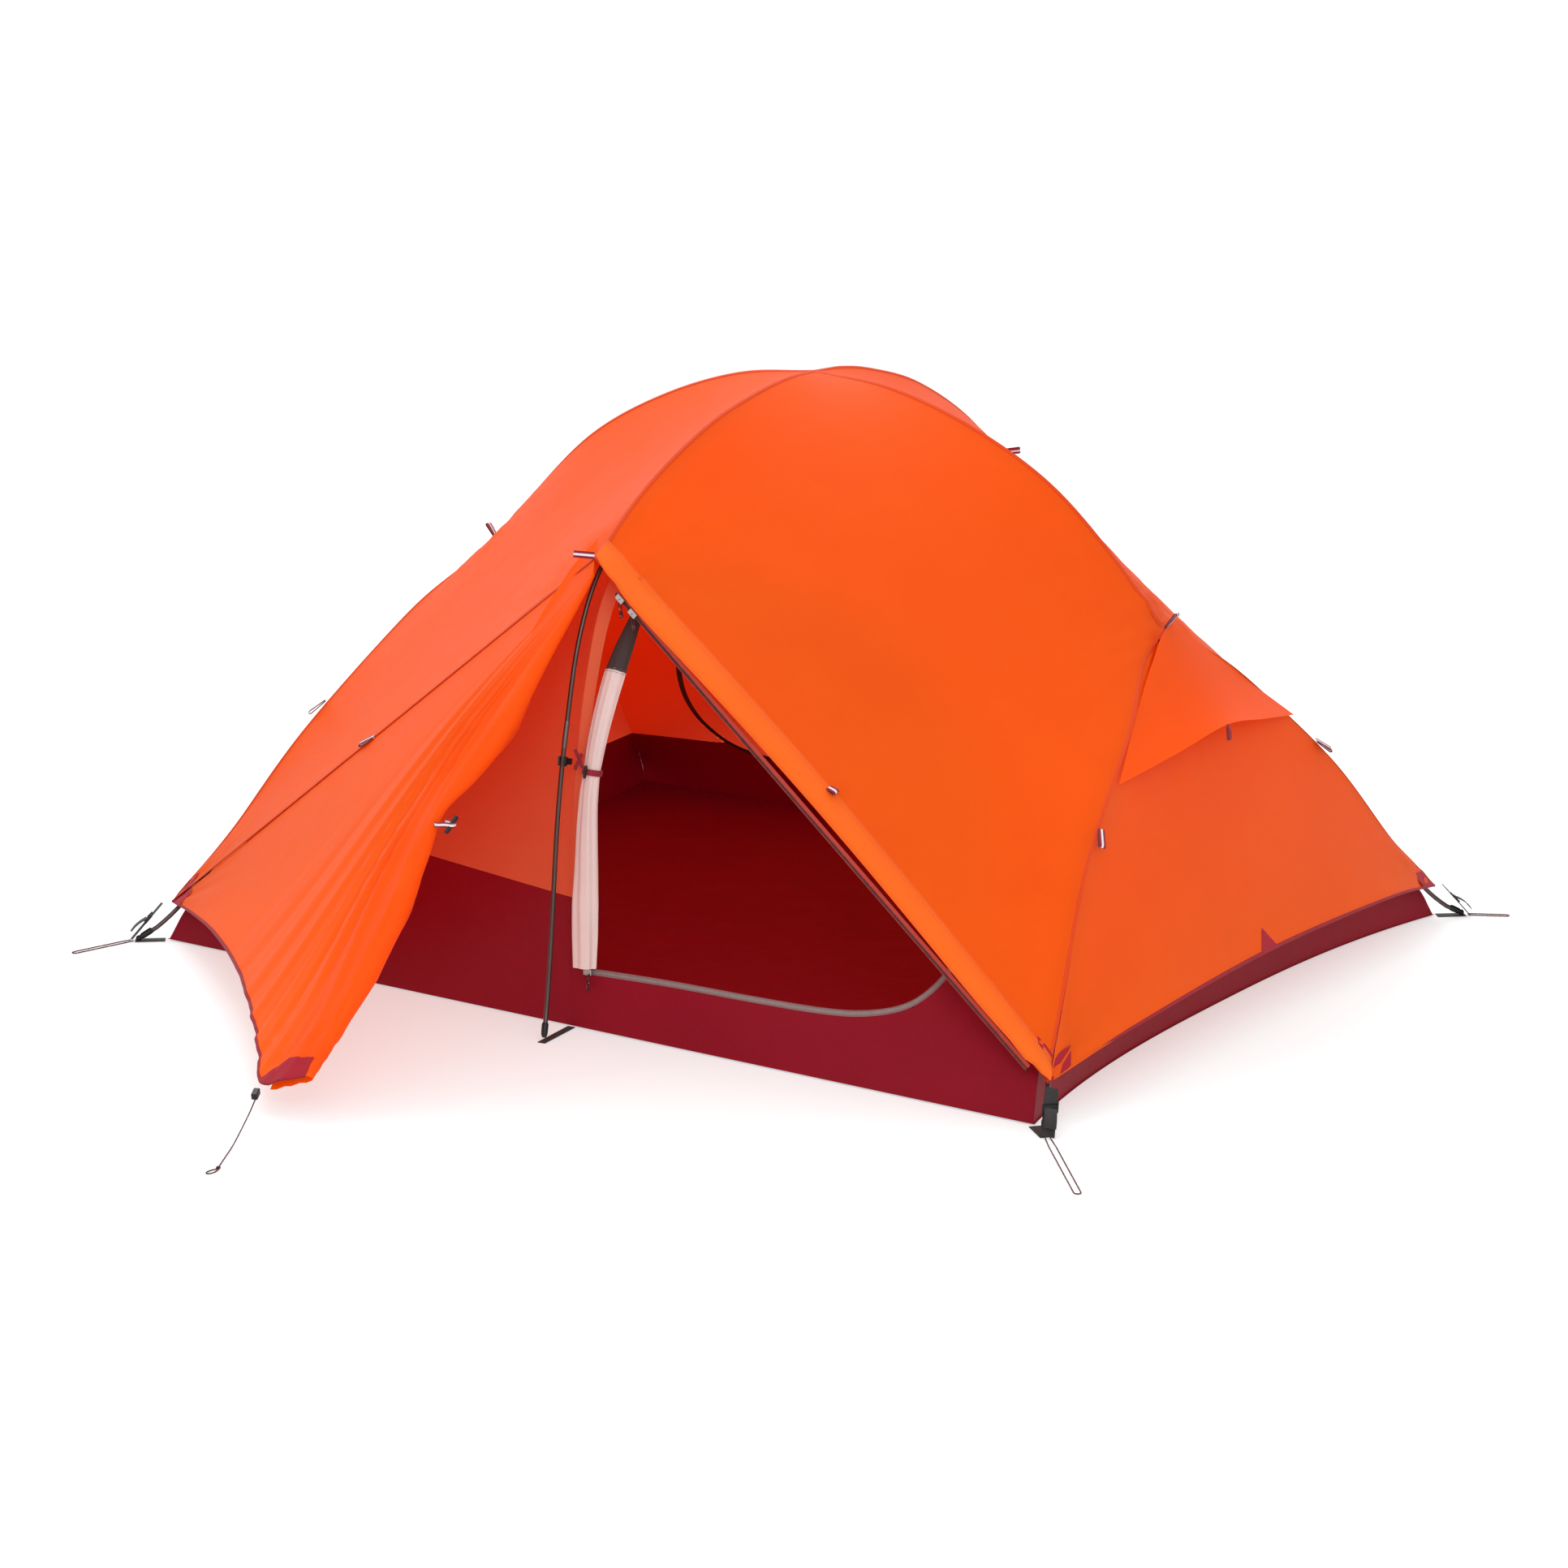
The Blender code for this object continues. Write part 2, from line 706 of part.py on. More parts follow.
def make_inner_zips():
    """A zip runs round each inner door's curved edge, just inside the opening's edge."""
    for name, turn in (("inner_zip_near", False), ("inner_zip_far", True)):
        inner = zip_path(ZIP_INSET + ZIP_WIDTH, turn)
        outer = zip_path(ZIP_INSET, turn)
        path = [a.lerp(b, 0.5) for a, b in zip(inner, outer)]
        halves = [(b - a) * 0.5 for a, b in zip(inner, outer)]
        swept(name, path, [0.0011], 4, ZIP_MAT, flat=lambda k, h=halves: h[k])


def box(name, size, centre, mat, x_axis=(1, 0, 0), y_axis=(0, 1, 0), bevel=0.0):
    """A block with its own axes, and a bevel on every edge when asked."""
    x_dir = Vector(x_axis).normalized()
    z_dir = x_dir.cross(Vector(y_axis)).normalized()
    y_dir = z_dir.cross(x_dir)
    bm = bmesh.new()
    bmesh.ops.create_cube(bm, size=1)
    if bevel:
        bmesh.ops.scale(bm, vec=size, verts=bm.verts)
        bmesh.ops.bevel(
            bm, geom=list(bm.edges), offset=bevel, segments=1, affect="EDGES", profile=0.5
        )
    else:
        bmesh.ops.scale(bm, vec=size, verts=bm.verts)
    turn = Matrix((x_dir, y_dir, z_dir)).transposed().to_4x4()
    bmesh.ops.transform(bm, matrix=Matrix.Translation(Vector(centre)) @ turn, verts=bm.verts)
    bmesh.ops.recalc_face_normals(bm, faces=bm.faces)
    mesh = bpy.data.meshes.new(name)
    bm.to_mesh(mesh)
    bm.free()
    return add_object(name, mesh, mat)


def make_inner_sliders():
    """The zip sliders of the inner doors, on the straight bottom run of each zip."""
    path = zip_path(ZIP_INSET + ZIP_WIDTH / 2, False, 0.0, 0.2, 16, 0.0074)
    direction = (path[10] - path[1]).normalized()
    for name, sign in (("inner_slider_near", 1), ("inner_slider_far", -1)):
        centre = Vector((path[1].x * sign, path[1].y * sign, path[1].z))
        axis = Vector((direction.x * sign, direction.y * sign, direction.z))
        obj = box(name, (0.018, 0.0085, 0.013), centre, PLASTIC_MAT, axis, (0, 1, 0), 0.0012)
        set_origin(obj, centre)


# ---- Poles ---------------------------------------------------------------------------------

POLE_END_HEIGHT = 0.0085
LEG_POLE = [
    (HUB_X + 0.001, -0.03, HUB_Z - 0.035),
    (0.853, -0.125, 0.688),
    (0.904, -0.262, 0.592),
    (0.96, -0.514, 0.396),
    (1.017, -0.694, 0.2),
    (1.058, -0.8, 0.085),
    (1.086, -0.862, 0.03),
    (TIP_X, -TIP_Y, POLE_END_HEIGHT),
]
CROSS_POLE = [
    (0.018, -0.97, POLE_END_HEIGHT),
    (0.01, -0.952, 0.05),
    (0.004, -0.932, 0.14),
    (0, -0.912, 0.285),
    (0, -0.895, 0.445),
    (0, -0.868, 0.6),
    (0, -0.822, 0.78),
    (0, -0.745, 0.912),
    (0, -0.594, 1.028),
    (0, -0.39, 1.122),
    (0, -0.21, 1.168),
    (0, -0.1, 1.187),
    (0, 0, 1.1932),
]
RIDGE_HALF = [
    (0, 0, 1.183),
    (0.19, 0, 1.164),
    (0.383, 0, 1.102),
    (0.57, 0, 0.999),
    (0.738, 0, 0.847),
    (0.806, 0, 0.77),
]


def make_poles():
    ridge = [(-x, y, z) for x, y, z in RIDGE_HALF[:0:-1]] + RIDGE_HALF
    swept("ridge_pole", along_curve(curve_through(ridge), 29), [POLE_RADIUS], 8, POLE_MAT)
    cross = CROSS_POLE + [(-x, -y, z) for x, y, z in CROSS_POLE[-2::-1]]
    swept("cross_pole", along_curve(curve_through(cross), 61), [POLE_RADIUS], 8, POLE_MAT)
    for name, x, y in (
        ("leg_pole_near_right", 1, 1),
        ("leg_pole_near_left", -1, 1),
        ("leg_pole_far_right", 1, -1),
        ("leg_pole_far_left", -1, -1),
    ):
        leg = flipped(curve_through(LEG_POLE), x, y)
        swept(name, along_curve(leg, 23), [POLE_RADIUS], 8, POLE_MAT)


def rod(name, start, end, radius, sides=10):
    return swept(name, [start, start.lerp(end, 0.5), end], [radius], sides, PLASTIC_MAT)


def socket(name, pole, end, inward, depth):
    """A hub's arm, square to the pole that ends on its face."""
    direction = (pole(end) - pole(inward)).normalized()
    face = pole(end) + direction * 2 * GAP
    return rod(name, face, face + direction * depth, SOCKET_RADIUS)


def make_hubs():
    """Each hub is a three-way socket: the ridge pole and two leg poles end on its faces."""
    for name, x in (("hub_right", 1), ("hub_left", -1)):
        hub = socket(name, flipped(curve_through(RIDGE_HALF), x), 1, 0.98, 0.045)
        for side, y in (("near", 1), ("far", -1)):
            leg = flipped(curve_through(LEG_POLE), x, y)
            arm = socket(f"{name}_arm_{side}", leg, 0, 0.02, 0.034)
            boolean(hub, arm, "UNION")


def make_corner_straps():
    """Webbing from each floor corner out to the pole tip, and from each fly corner to it."""
    half = WEBBING_WIDTH / 2
    for name, x, y in (
        ("near_right", 1, 1),
        ("near_left", -1, 1),
        ("far_right", 1, -1),
        ("far_left", -1, -1),
    ):
        out = Vector((TIP_X - HALF_LENGTH, -(TIP_Y - HALF_WIDTH), 0)).normalized()
        across = Vector((-out.y, out.x, 0)) * half
        start = Vector((HALF_LENGTH, -HALF_WIDTH, 0)) + out * 0.004
        end = Vector((TIP_X, -TIP_Y, 0)) + out * 0.012
        ground = [start.lerp(end, t) + Vector((0, 0, WEBBING / 2)) for t in (0, 0.5, 1)]
        fly_start = FLY_CORNER + Vector((0.016, -0.014, -0.002))
        fly_end = Vector((TIP_X, -TIP_Y, 0)) + out * 0.02 + Vector((0, 0, 0.004))
        hanging = [fly_start.lerp(fly_end, t) for t in (0, 0.35, 0.7, 1)]
        for kind, path in (("floor_strap", ground), ("fly_strap", hanging)):
            moved = [Vector((p.x * x, p.y * y, p.z)) for p in path]
            width = Vector((across.x * x, across.y * y, 0))
            swept(f"{kind}_{name}", moved, [WEBBING / 2], 4, WEBBING_MAT, flat=width)
    foot = Vector(CROSS_POLE[0])
    for name, sign in (("foot_strap_near", 1), ("foot_strap_far", -1)):
        start = Vector((0.008, -HALF_WIDTH - 0.0035, 0.0012))
        end = Vector((foot.x + 0.004, foot.y - 0.014, 0.0012))
        path = [start.lerp(end, t) for t in (0, 0.5, 1)]
        path = [Vector((p.x * sign, p.y * sign, p.z)) for p in path]
        swept(name, path, [WEBBING / 2], 4, WEBBING_MAT, flat=Vector((half * 0.7 * sign, 0, 0)))


def make_pole_clips():
    """A snap clip on each run of the cross pole beside a door. It turns about the pole."""
    pole = curve_through(CROSS_POLE)
    for name, sign in (("pole_clip_near", 1), ("pole_clip_far", -1)):
        share = 0.31
        centre = pole(share)
        axis = (pole(share + 0.01) - pole(share - 0.01)).normalized()
        front = axis.cross(Vector((1, 0, 0))).normalized()
        if front.y < 0:
            front.negate()
        side = Vector((1, 0, 0))
        inner, outer, half, mouth = POLE_RADIUS + 0.0008, 0.0092, 0.009, math.radians(40)
        steps = 12
        vertices, faces = [], []
        for k in range(steps + 1):
            angle = mouth + (2 * math.pi - 2 * mouth) * k / steps
            ray = -front * math.cos(angle) + side * math.sin(angle)
            for radius, height in ((inner, -half), (outer, -half), (outer, half), (inner, half)):
                vertices.append(centre + ray * radius + axis * height)
        for k in range(steps):
            for s in range(4):
                a, b = 4 * k + s, 4 * k + (s + 1) % 4
                faces.append((a, b, b + 4, a + 4))
        faces += [(0, 1, 2, 3), tuple(4 * steps + s for s in range(4))]
        vertices = [Vector((p.x * sign, p.y * sign, p.z)) for p in vertices]
        clip = add_object(name, mesh_from(name, vertices, faces), PLASTIC_MAT)
        tail = centre + front * 0.0145
        hook = box(
            f"{name}_hook",
            (0.016, 0.0125, 0.012),
            Vector((tail.x * sign, tail.y * sign, tail.z)),
            PLASTIC_MAT,
            (1, 0, 0),
            (front.x * sign, front.y * sign, front.z),
        )
        boolean(clip, hook, "UNION")
        place = Vector((centre.x * sign, centre.y * sign, centre.z))
        set_origin(clip, place)


# ---- Fly closures --------------------------------------------------------------------------

EDGE_DIRECTION = (FLY_CORNER - DOOR_TOP).normalized()
EDGE_FACING = Vector((0, -1, 0.25))
EDGE_NORMAL = (EDGE_FACING - EDGE_DIRECTION * EDGE_FACING.dot(EDGE_DIRECTION)).normalized()
EDGE_BELOW = EDGE_DIRECTION.cross(EDGE_NORMAL).normalized()
if EDGE_BELOW.z > 0:
    EDGE_BELOW.negate()
EDGE_LENGTH = (FLY_CORNER - DOOR_TOP).length


def edge_point(along, below, out):
    """A place beside the door edge of the fly's near right panel."""
    return DOOR_TOP + EDGE_DIRECTION * along + EDGE_BELOW * below + EDGE_NORMAL * out


def make_fly_zip():
    """The door zip hangs just below the panel's edge, from the door top to the corner."""
    path = [edge_point(EDGE_LENGTH * t, 0.0105, -0.001) for t in (0.06, 0.3, 0.55, 0.8, 0.965)]
    swept("fly_zip_near", path, [0.001], 4, ZIP_MAT, flat=EDGE_BELOW * (ZIP_WIDTH / 2))
    for name, along in (("fly_slider_upper", 0.098), ("fly_slider_lower", 0.138)):
        centre = edge_point(along, 0.0115, 0.0052)
        size = (0.02, 0.013, 0.009)
        slider = box(name, size, centre, PLASTIC_MAT, EDGE_DIRECTION, EDGE_BELOW, 0.0015)
        set_origin(slider, centre)


def make_tie_toggle():
    """The toggle that holds the gathered door half back, on its short tape."""
    edge = DOOR_TOP.lerp(TIED_EDGE_FOOT, 0.52)
    centre = edge + Vector((0.024, -0.02, 0.0))
    reach = Vector((0, 0.016, 0.012))
    toggle = rod("door_toggle", centre - reach, centre + reach, 0.0045, 8)
    set_origin(toggle, centre)


def make_cords():
    """Corner loops lie on the ground; the vestibule cord runs down from its point."""
    radius = CORD_RADIUS

    def loop(name, start, end, width=0.0065):
        along = (end - start).normalized()
        side = Vector((-along.y, along.x, 0)) * width
        length = (end - start).length
        points = []
        straight = max(3, round((length - width) / 0.0072))
        for k in range(straight):
            share = k / straight * (1 - width / length)
            points.append(start.lerp(end, share) + side * (0.75 + 0.25 * min(1, share * 6)))
        bend = end - along * width
        for k in range(5):
            angle = math.pi / 2 - math.pi * k / 4
            points.append(bend + side * math.sin(angle) + along * width * math.cos(angle))
        for k in range(straight - 1, -1, -1):
            share = k / straight * (1 - width / length)
            points.append(start.lerp(end, share) - side * (0.75 + 0.25 * min(1, share * 6)))
        cord(name, points)

    low = radius + 0.0002
    out = Vector((TIP_X - HALF_LENGTH, HALF_WIDTH - TIP_Y, 0)).normalized() * 0.0188
    near = Vector((TIP_X, -TIP_Y, low)) + out
    loop("cord_corner_right", near, Vector((1.315, -1.14, low)))
    loop("cord_corner_left", Vector((-near.x, near.y, low)), Vector((-1.157, -1.054, low)))
    loop("cord_corner_far", Vector((near.x, -near.y, low)), Vector((1.2, 0.955, low)))
    route = curve_through(
        [
            CORD_START,
            CORD_START + CORD_RUN * 0.5,
            CORD_START + CORD_RUN,
            (-0.063, -1.782, 0.0055),
            (-0.03, -1.845, low + 0.0004),
            (0, -1.9, low),
        ]
    )
    cord("cord_vestibule", along_curve(route, 46))


def make_cord_lock():
    """The line tensioner on the vestibule cord, just below the vestibule's point."""
    direction = CORD_RUN.normalized()
    centre = CORD_START + direction * 0.03 + Vector((0, 0, 0.0087))
    across = direction.cross(Vector((0, 0, 1)))
    lock = box("cord_lock", (0.024, 0.012, 0.0125), centre, PLASTIC_MAT, direction, across, 0.0015)
    set_origin(lock, centre)


make_poles()
make_hubs()
make_floor()
make_inner_walls()
make_inner_ends()
make_inner_doors()
make_inner_zips()
make_inner_sliders()
make_pole_clips()
make_corner_straps()
make_fly_panels()
make_fly_ends()
make_vent_hoods()
make_near_vestibule()
make_far_vestibule()
make_fly_zip()
make_tie_toggle()
make_cords()
make_cord_lock()
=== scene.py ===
"""The looks of a two-door dome tent: fly sheet, inner tent, poles, fittings and guy cords.

Everything stands in the frame's own place, in metres, with +Z up and the near door at -Y.
"""

import math

import bmesh
import bpy
import numpy as np
from mathutils import Matrix, Vector, noise


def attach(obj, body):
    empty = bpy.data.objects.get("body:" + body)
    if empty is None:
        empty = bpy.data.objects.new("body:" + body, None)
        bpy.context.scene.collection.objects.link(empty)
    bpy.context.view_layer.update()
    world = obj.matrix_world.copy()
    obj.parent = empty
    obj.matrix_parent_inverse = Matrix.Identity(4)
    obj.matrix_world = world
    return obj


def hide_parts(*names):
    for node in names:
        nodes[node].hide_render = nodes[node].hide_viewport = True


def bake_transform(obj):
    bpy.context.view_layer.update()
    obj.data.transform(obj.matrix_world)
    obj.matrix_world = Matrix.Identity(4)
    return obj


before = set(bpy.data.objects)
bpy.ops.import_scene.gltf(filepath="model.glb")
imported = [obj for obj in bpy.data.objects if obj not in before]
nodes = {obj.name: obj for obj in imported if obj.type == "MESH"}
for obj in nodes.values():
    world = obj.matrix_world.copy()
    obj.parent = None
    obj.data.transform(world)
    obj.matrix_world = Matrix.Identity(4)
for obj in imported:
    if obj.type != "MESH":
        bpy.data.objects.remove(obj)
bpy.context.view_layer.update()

# ---- Camera --------------------------------------------------------------------------------
# A long lens 2.4 m above the floor, some seven metres from the near right corner.

camera_data = bpy.data.cameras.new("camera")
camera_data.lens = 91.1
camera_data.sensor_width = 36
camera_data.shift_x = -0.0084
camera = bpy.data.objects.new("camera", camera_data)
bpy.context.collection.objects.link(camera)
camera.matrix_world = Matrix(
    (
        (0.83189, -0.13916, 0.53720, 4.52565),
        (0.55489, 0.19640, -0.80841, -6.86612),
        (0.00699, 0.97060, 0.24060, 2.35713),
        (0, 0, 0, 1),
    )
)
bpy.context.scene.camera = camera


# ---- Guy cords -----------------------------------------------------------------------------
# Round braided cord, 2.5 mm, dark red with pale reflective flecks woven in. Three corners have a
# doubled loop lying on the ground, and the vestibule's point has one cord with a tied end.


class Wire:
    """A shader socket that takes Python's operators; each one adds its Math node."""

    def __init__(self, finish, socket):
        self.finish = finish
        self.socket = socket

    def math(self, operation, first, second=0.0):
        return self.finish.node("ShaderNodeMath", {"operation": operation}, {0: first, 1: second})

    def __add__(self, other):
        return self.math("ADD", self, other)

    __radd__ = __add__

    def __sub__(self, other):
        return self.math("SUBTRACT", self, other)

    def __rsub__(self, other):
        return self.math("SUBTRACT", other, self)

    def __mul__(self, other):
        return self.math("MULTIPLY", self, other)

    __rmul__ = __mul__

    def __truediv__(self, other):
        return self.math("DIVIDE", self, other)

    def over(self, limit):
        return self.math("GREATER_THAN", self, limit)

    def sine(self):
        return self.math("SINE", self)

    def size(self):
        return self.math("ABSOLUTE", self)

    def cycle(self):
        return self.math("FRACT", self)

    def larger(self, other):
        return self.math("MAXIMUM", self, other)


class Finish:
    """One material. node() adds any node: its settings first, then the values of its sockets."""

    def __init__(self, name):
        self.material = bpy.data.materials.new(name)
        self.material.use_nodes = True
        self.tree = self.material.node_tree
        self.tree.nodes.clear()

    def node(self, kind, settings, sockets, out=0):
        made = self.tree.nodes.new(kind)
        for key, value in settings.items():
            setattr(made, key, value)
        for key, value in sockets.items():
            if isinstance(value, Wire):
                self.tree.links.new(value.socket, made.inputs[key])
            elif hasattr(value, "__len__") and len(value) == 3 and made.inputs[key].type == "RGBA":
                made.inputs[key].default_value = (*value, 1)
            else:
                made.inputs[key].default_value = value
        return Wire(self, made.outputs[out]) if len(made.outputs) else None

    def place(self, kind="Object"):
        """Object coordinates, or with kind "UV" the metres along and across the cloth."""
        return self.node("ShaderNodeTexCoord", {}, {}, kind)

    def part(self, vector, axis):
        return self.node("ShaderNodeSeparateXYZ", {}, {0: vector}, axis)

    def noise(self, vector, scale, detail=3.0):
        sockets = {"Vector": vector, "Scale": scale, "Detail": detail}
        return self.node("ShaderNodeTexNoise", {}, sockets)

    def mix(self, share, first, second):
        settings = {"data_type": "RGBA"}
        return self.node("ShaderNodeMix", settings, {0: share, 6: first, 7: second}, 2)

    def tint(self, colour, amount):
        """The colour made lighter or darker by the amount, a wire around 0."""
        low = [c * 0.8 for c in colour]
        high = [min(1.0, c * 1.2 + 0.004) for c in colour]
        return self.mix(amount + 0.5, low, high)

    def bump(self, height, distance, strength=1.0, before=None):
        sockets = {"Height": height, "Distance": distance, "Strength": strength}
        if before is not None:
            sockets["Normal"] = before
        return self.node("ShaderNodeBump", {}, sockets)

    def surface(self, colour, roughness, normal=None, through=0.0, through_colour=None, **constants):
        """The Principled shader, with a share of light let through when the cloth is thin."""
        sockets = {"Base Color": colour, "Roughness": roughness, **constants}
        if normal is not None:
            sockets["Normal"] = normal
        shader = self.node("ShaderNodeBsdfPrincipled", {}, sockets)
        if through:
            glow = self.node("ShaderNodeBsdfTranslucent", {}, {"Color": through_colour})
            shader = self.node("ShaderNodeMixShader", {}, {0: through, 1: shader, 2: glow})
        self.node("ShaderNodeOutputMaterial", {}, {"Surface": shader})
        return self.material


def curve_through(points, steps=16):
    """A smooth curve through the points, as a function of 0 to 1 along its length."""
    pts = [Vector(p) for p in points]
    pts = [2 * pts[0] - pts[1], *pts, 2 * pts[-1] - pts[-2]]
    dense = []
    for a, b, c, d in zip(pts, pts[1:], pts[2:], pts[3:]):
        for i in range(steps):
            t = i / steps
            dense.append(
                b
                + (c - a) * (0.5 * t)
                + (2 * a - 5 * b + 4 * c - d) * (0.5 * t * t)
                + (3 * b - a - 3 * c + d) * (0.5 * t**3)
            )
    dense.append(pts[-2])
    along = [0.0]
    for a, b in zip(dense, dense[1:]):
        along.append(along[-1] + (b - a).length)

    def at(t):
        target = max(0.0, min(1.0, t)) * along[-1]
        i = 1
        while i < len(along) - 1 and along[i] < target:
            i += 1
        share = (target - along[i - 1]) / (along[i] - along[i - 1])
        return dense[i - 1].lerp(dense[i], share)

    return at


def points_on(curve, steps):
    """The curve's points at equal steps, both ends included."""
    return [curve(k / steps) for k in range(steps + 1)]


def guy_cord_finish():
    finish = Finish("guy_cord")
    where = finish.place()
    flecks = finish.noise(where, 420.0, 0.0).over(0.7)
    braid = finish.noise(where, 900.0, 1.0)
    colour = finish.mix(flecks, (0.06, 0.004, 0.008), (0.5, 0.3, 0.3))
    return finish.surface(
        colour, braid * 0.3 + 0.55, finish.bump(braid, 0.0004),
        **{"Sheen Weight": 0.05, "Specular IOR Level": 0.2},
    )


GUY_CORD = guy_cord_finish()
CORD_RADIUS = 0.00125
CORD_LOW = CORD_RADIUS + 0.0002
TIP = Vector((1.107, -0.9, 0))
STRAP_OUT = Vector((TIP.x - 1.065, 0.864 + TIP.y, 0)).normalized()
VESTIBULE_POINT = Vector((-0.158, -1.599, 0.05))
CORD_START = VESTIBULE_POINT + Vector((0.006, -0.012, -0.008))
CORD_RUN = Vector((0.04, -0.078, -0.021))


def placed(name, data):
    """The data as one object in the scene."""
    obj = bpy.data.objects.new(name, data)
    bpy.context.collection.objects.link(obj)
    return obj


def marked(obj, body, replaced=()):
    """Says which body the object rides on, and the nodes of the model it replaces."""
    if body:
        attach(obj, body)
    if replaced:
        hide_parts(*replaced)
    return obj


def cord_object(name, points, node, body, exit_point):
    data = bpy.data.curves.new(name, "CURVE")
    data.dimensions = "3D"
    data.bevel_depth = CORD_RADIUS
    data.bevel_resolution = 3
    data.use_fill_caps = True
    spline = data.splines.new("POLY")
    spline.points.add(len(points) - 1)
    for point, place in zip(spline.points, points):
        point.co = (*place, 1)
    data.materials.append(GUY_CORD)
    cord = marked(placed(name, data), body, [node])
    length = sum((b - a).length for a, b in zip(points, points[1:]))
    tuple(exit_point)


def doubled_loop(start, end, width=0.0065):
    """Out beside the line, round its end and back: a cord that lies doubled."""
    along = (end - start).normalized()
    side = Vector((-along.y, along.x, 0)) * width
    length = (end - start).length
    straight = max(3, round((length - width) / 0.0072))
    shares = [k / straight * (1 - width / length) for k in range(straight)]
    points = [start.lerp(end, t) + side * (0.75 + 0.25 * min(1, t * 6)) for t in shares]
    bend = end - along * width
    for k in range(5):
        angle = math.pi / 2 - math.pi * k / 4
        points.append(bend + side * math.sin(angle) + along * width * math.cos(angle))
    points += [start.lerp(end, t) - side * (0.75 + 0.25 * min(1, t * 6)) for t in reversed(shares)]
    return points


loop_start = Vector((TIP.x, TIP.y, CORD_LOW)) + Vector((STRAP_OUT.x, -abs(STRAP_OUT.y), 0)) * 0.0188
for place, start, end in (
    ("right", loop_start, Vector((1.315, -1.14, CORD_LOW))),
    ("left", Vector((-loop_start.x, loop_start.y, CORD_LOW)), Vector((-1.157, -1.054, CORD_LOW))),
    ("far", Vector((loop_start.x, -loop_start.y, CORD_LOW)), Vector((1.2, 0.955, CORD_LOW))),
):
    node = f"cord_corner_{place}"
    cord_object(f"corner_loop_{place}", doubled_loop(start, end), node, "root", start)

vestibule_route = curve_through(
    [
        CORD_START,
        CORD_START + CORD_RUN * 0.5,
        CORD_START + CORD_RUN,
        (-0.063, -1.782, 0.0055),
        (-0.03, -1.845, CORD_LOW + 0.0004),
        (0, -1.9, CORD_LOW),
    ]
)
vestibule_points = points_on(vestibule_route, 45)
cord_object("vestibule_cord", vestibule_points, "cord_vestibule", "fly", CORD_START)


# ---- Fly sheet panels ----------------------------------------------------------------------
# Thin orange ripstop nylon with a silicone coat, so it has a soft shine and lets light through.
# Four side panels and two ends are cut to shape, sewn on the pole lines and stretched hard.

CENTRE = Vector((0, 0, 0.3))
FLY_PEAK = 1.205
HUB = Vector((0.84, 0, 0.755))
DOOR_TOP = Vector((0.0, -0.772, 0.925))
FLY_CORNER = Vector((1.075, -0.835, 0.076))
FLY_COLUMNS, FLY_ROWS = 60, 48
THREAD_PITCH = 0.0011


def flipped(point, x, y):
    """The point moved to another side of the tent: -1 crosses over, and 0 stays in the middle."""
    return Vector((point[0] * x, point[1] * y, point[2]))


def mirrored(points, x, y):
    """A whole grid of points moved to another side of the tent."""
    return points * np.array((x, y, 1.0))


def patch(top, bottom, left, right):
    """A surface between four curves: u runs left to right, v runs top to bottom."""

    def at(u, v):
        across = top(u) * (1 - v) + bottom(u) * v
        down = left(v) * (1 - u) + right(v) * u
        corners = (top(0) * (1 - u) + top(1) * u) * (1 - v)
        corners = corners + (bottom(0) * (1 - u) + bottom(1) * u) * v
        return across + down - corners

    return at


def taut(surface, columns, rows, share=1.0, rounds=1500):
    """The surface's grid of points, pulled tight between its edges as stretched cloth is."""
    loose = np.array(
        [[surface(i / columns, j / rows) for j in range(rows + 1)] for i in range(columns + 1)]
    )
    tight = loose.copy()
    weight_u = 1 / np.linalg.norm(np.diff(loose, axis=0), axis=2).mean() ** 2
    weight_v = 1 / np.linalg.norm(np.diff(loose, axis=1), axis=2).mean() ** 2
    for _ in range(rounds):
        pull_u = (tight[2:, 1:-1] + tight[:-2, 1:-1]) * weight_u
        pull_v = (tight[1:-1, 2:] + tight[1:-1, :-2]) * weight_v
        tight[1:-1, 1:-1] = (pull_u + pull_v) / (2 * (weight_u + weight_v))
    return loose * (1 - share) + tight * share


def lookup(points):
    """A grid of points as a function of u and v."""
    columns, rows = points.shape[0] - 1, points.shape[1] - 1

    def at(u, v):
        i = min(max(int(u * columns), 0), columns - 1)
        j = min(max(int(v * rows), 0), rows - 1)
        a, b = u * columns - i, v * rows - j
        low = points[i, j] * (1 - b) + points[i, j + 1] * b
        high = points[i + 1, j] * (1 - b) + points[i + 1, j + 1] * b
        return Vector(low * (1 - a) + high * a)

    return at


def normals_of(points, centre=CENTRE):
    """The grid's normals, all facing away from the centre."""
    across = np.gradient(points, axis=0)
    down = np.gradient(points, axis=1)
    normals = np.cross(across, down)
    normals /= np.maximum(np.linalg.norm(normals, axis=2, keepdims=True), 1e-12)
    facing = np.einsum("ijk,ijk->ij", normals, points - np.array(centre))
    return normals * np.where(facing < 0, -1, 1)[..., None]


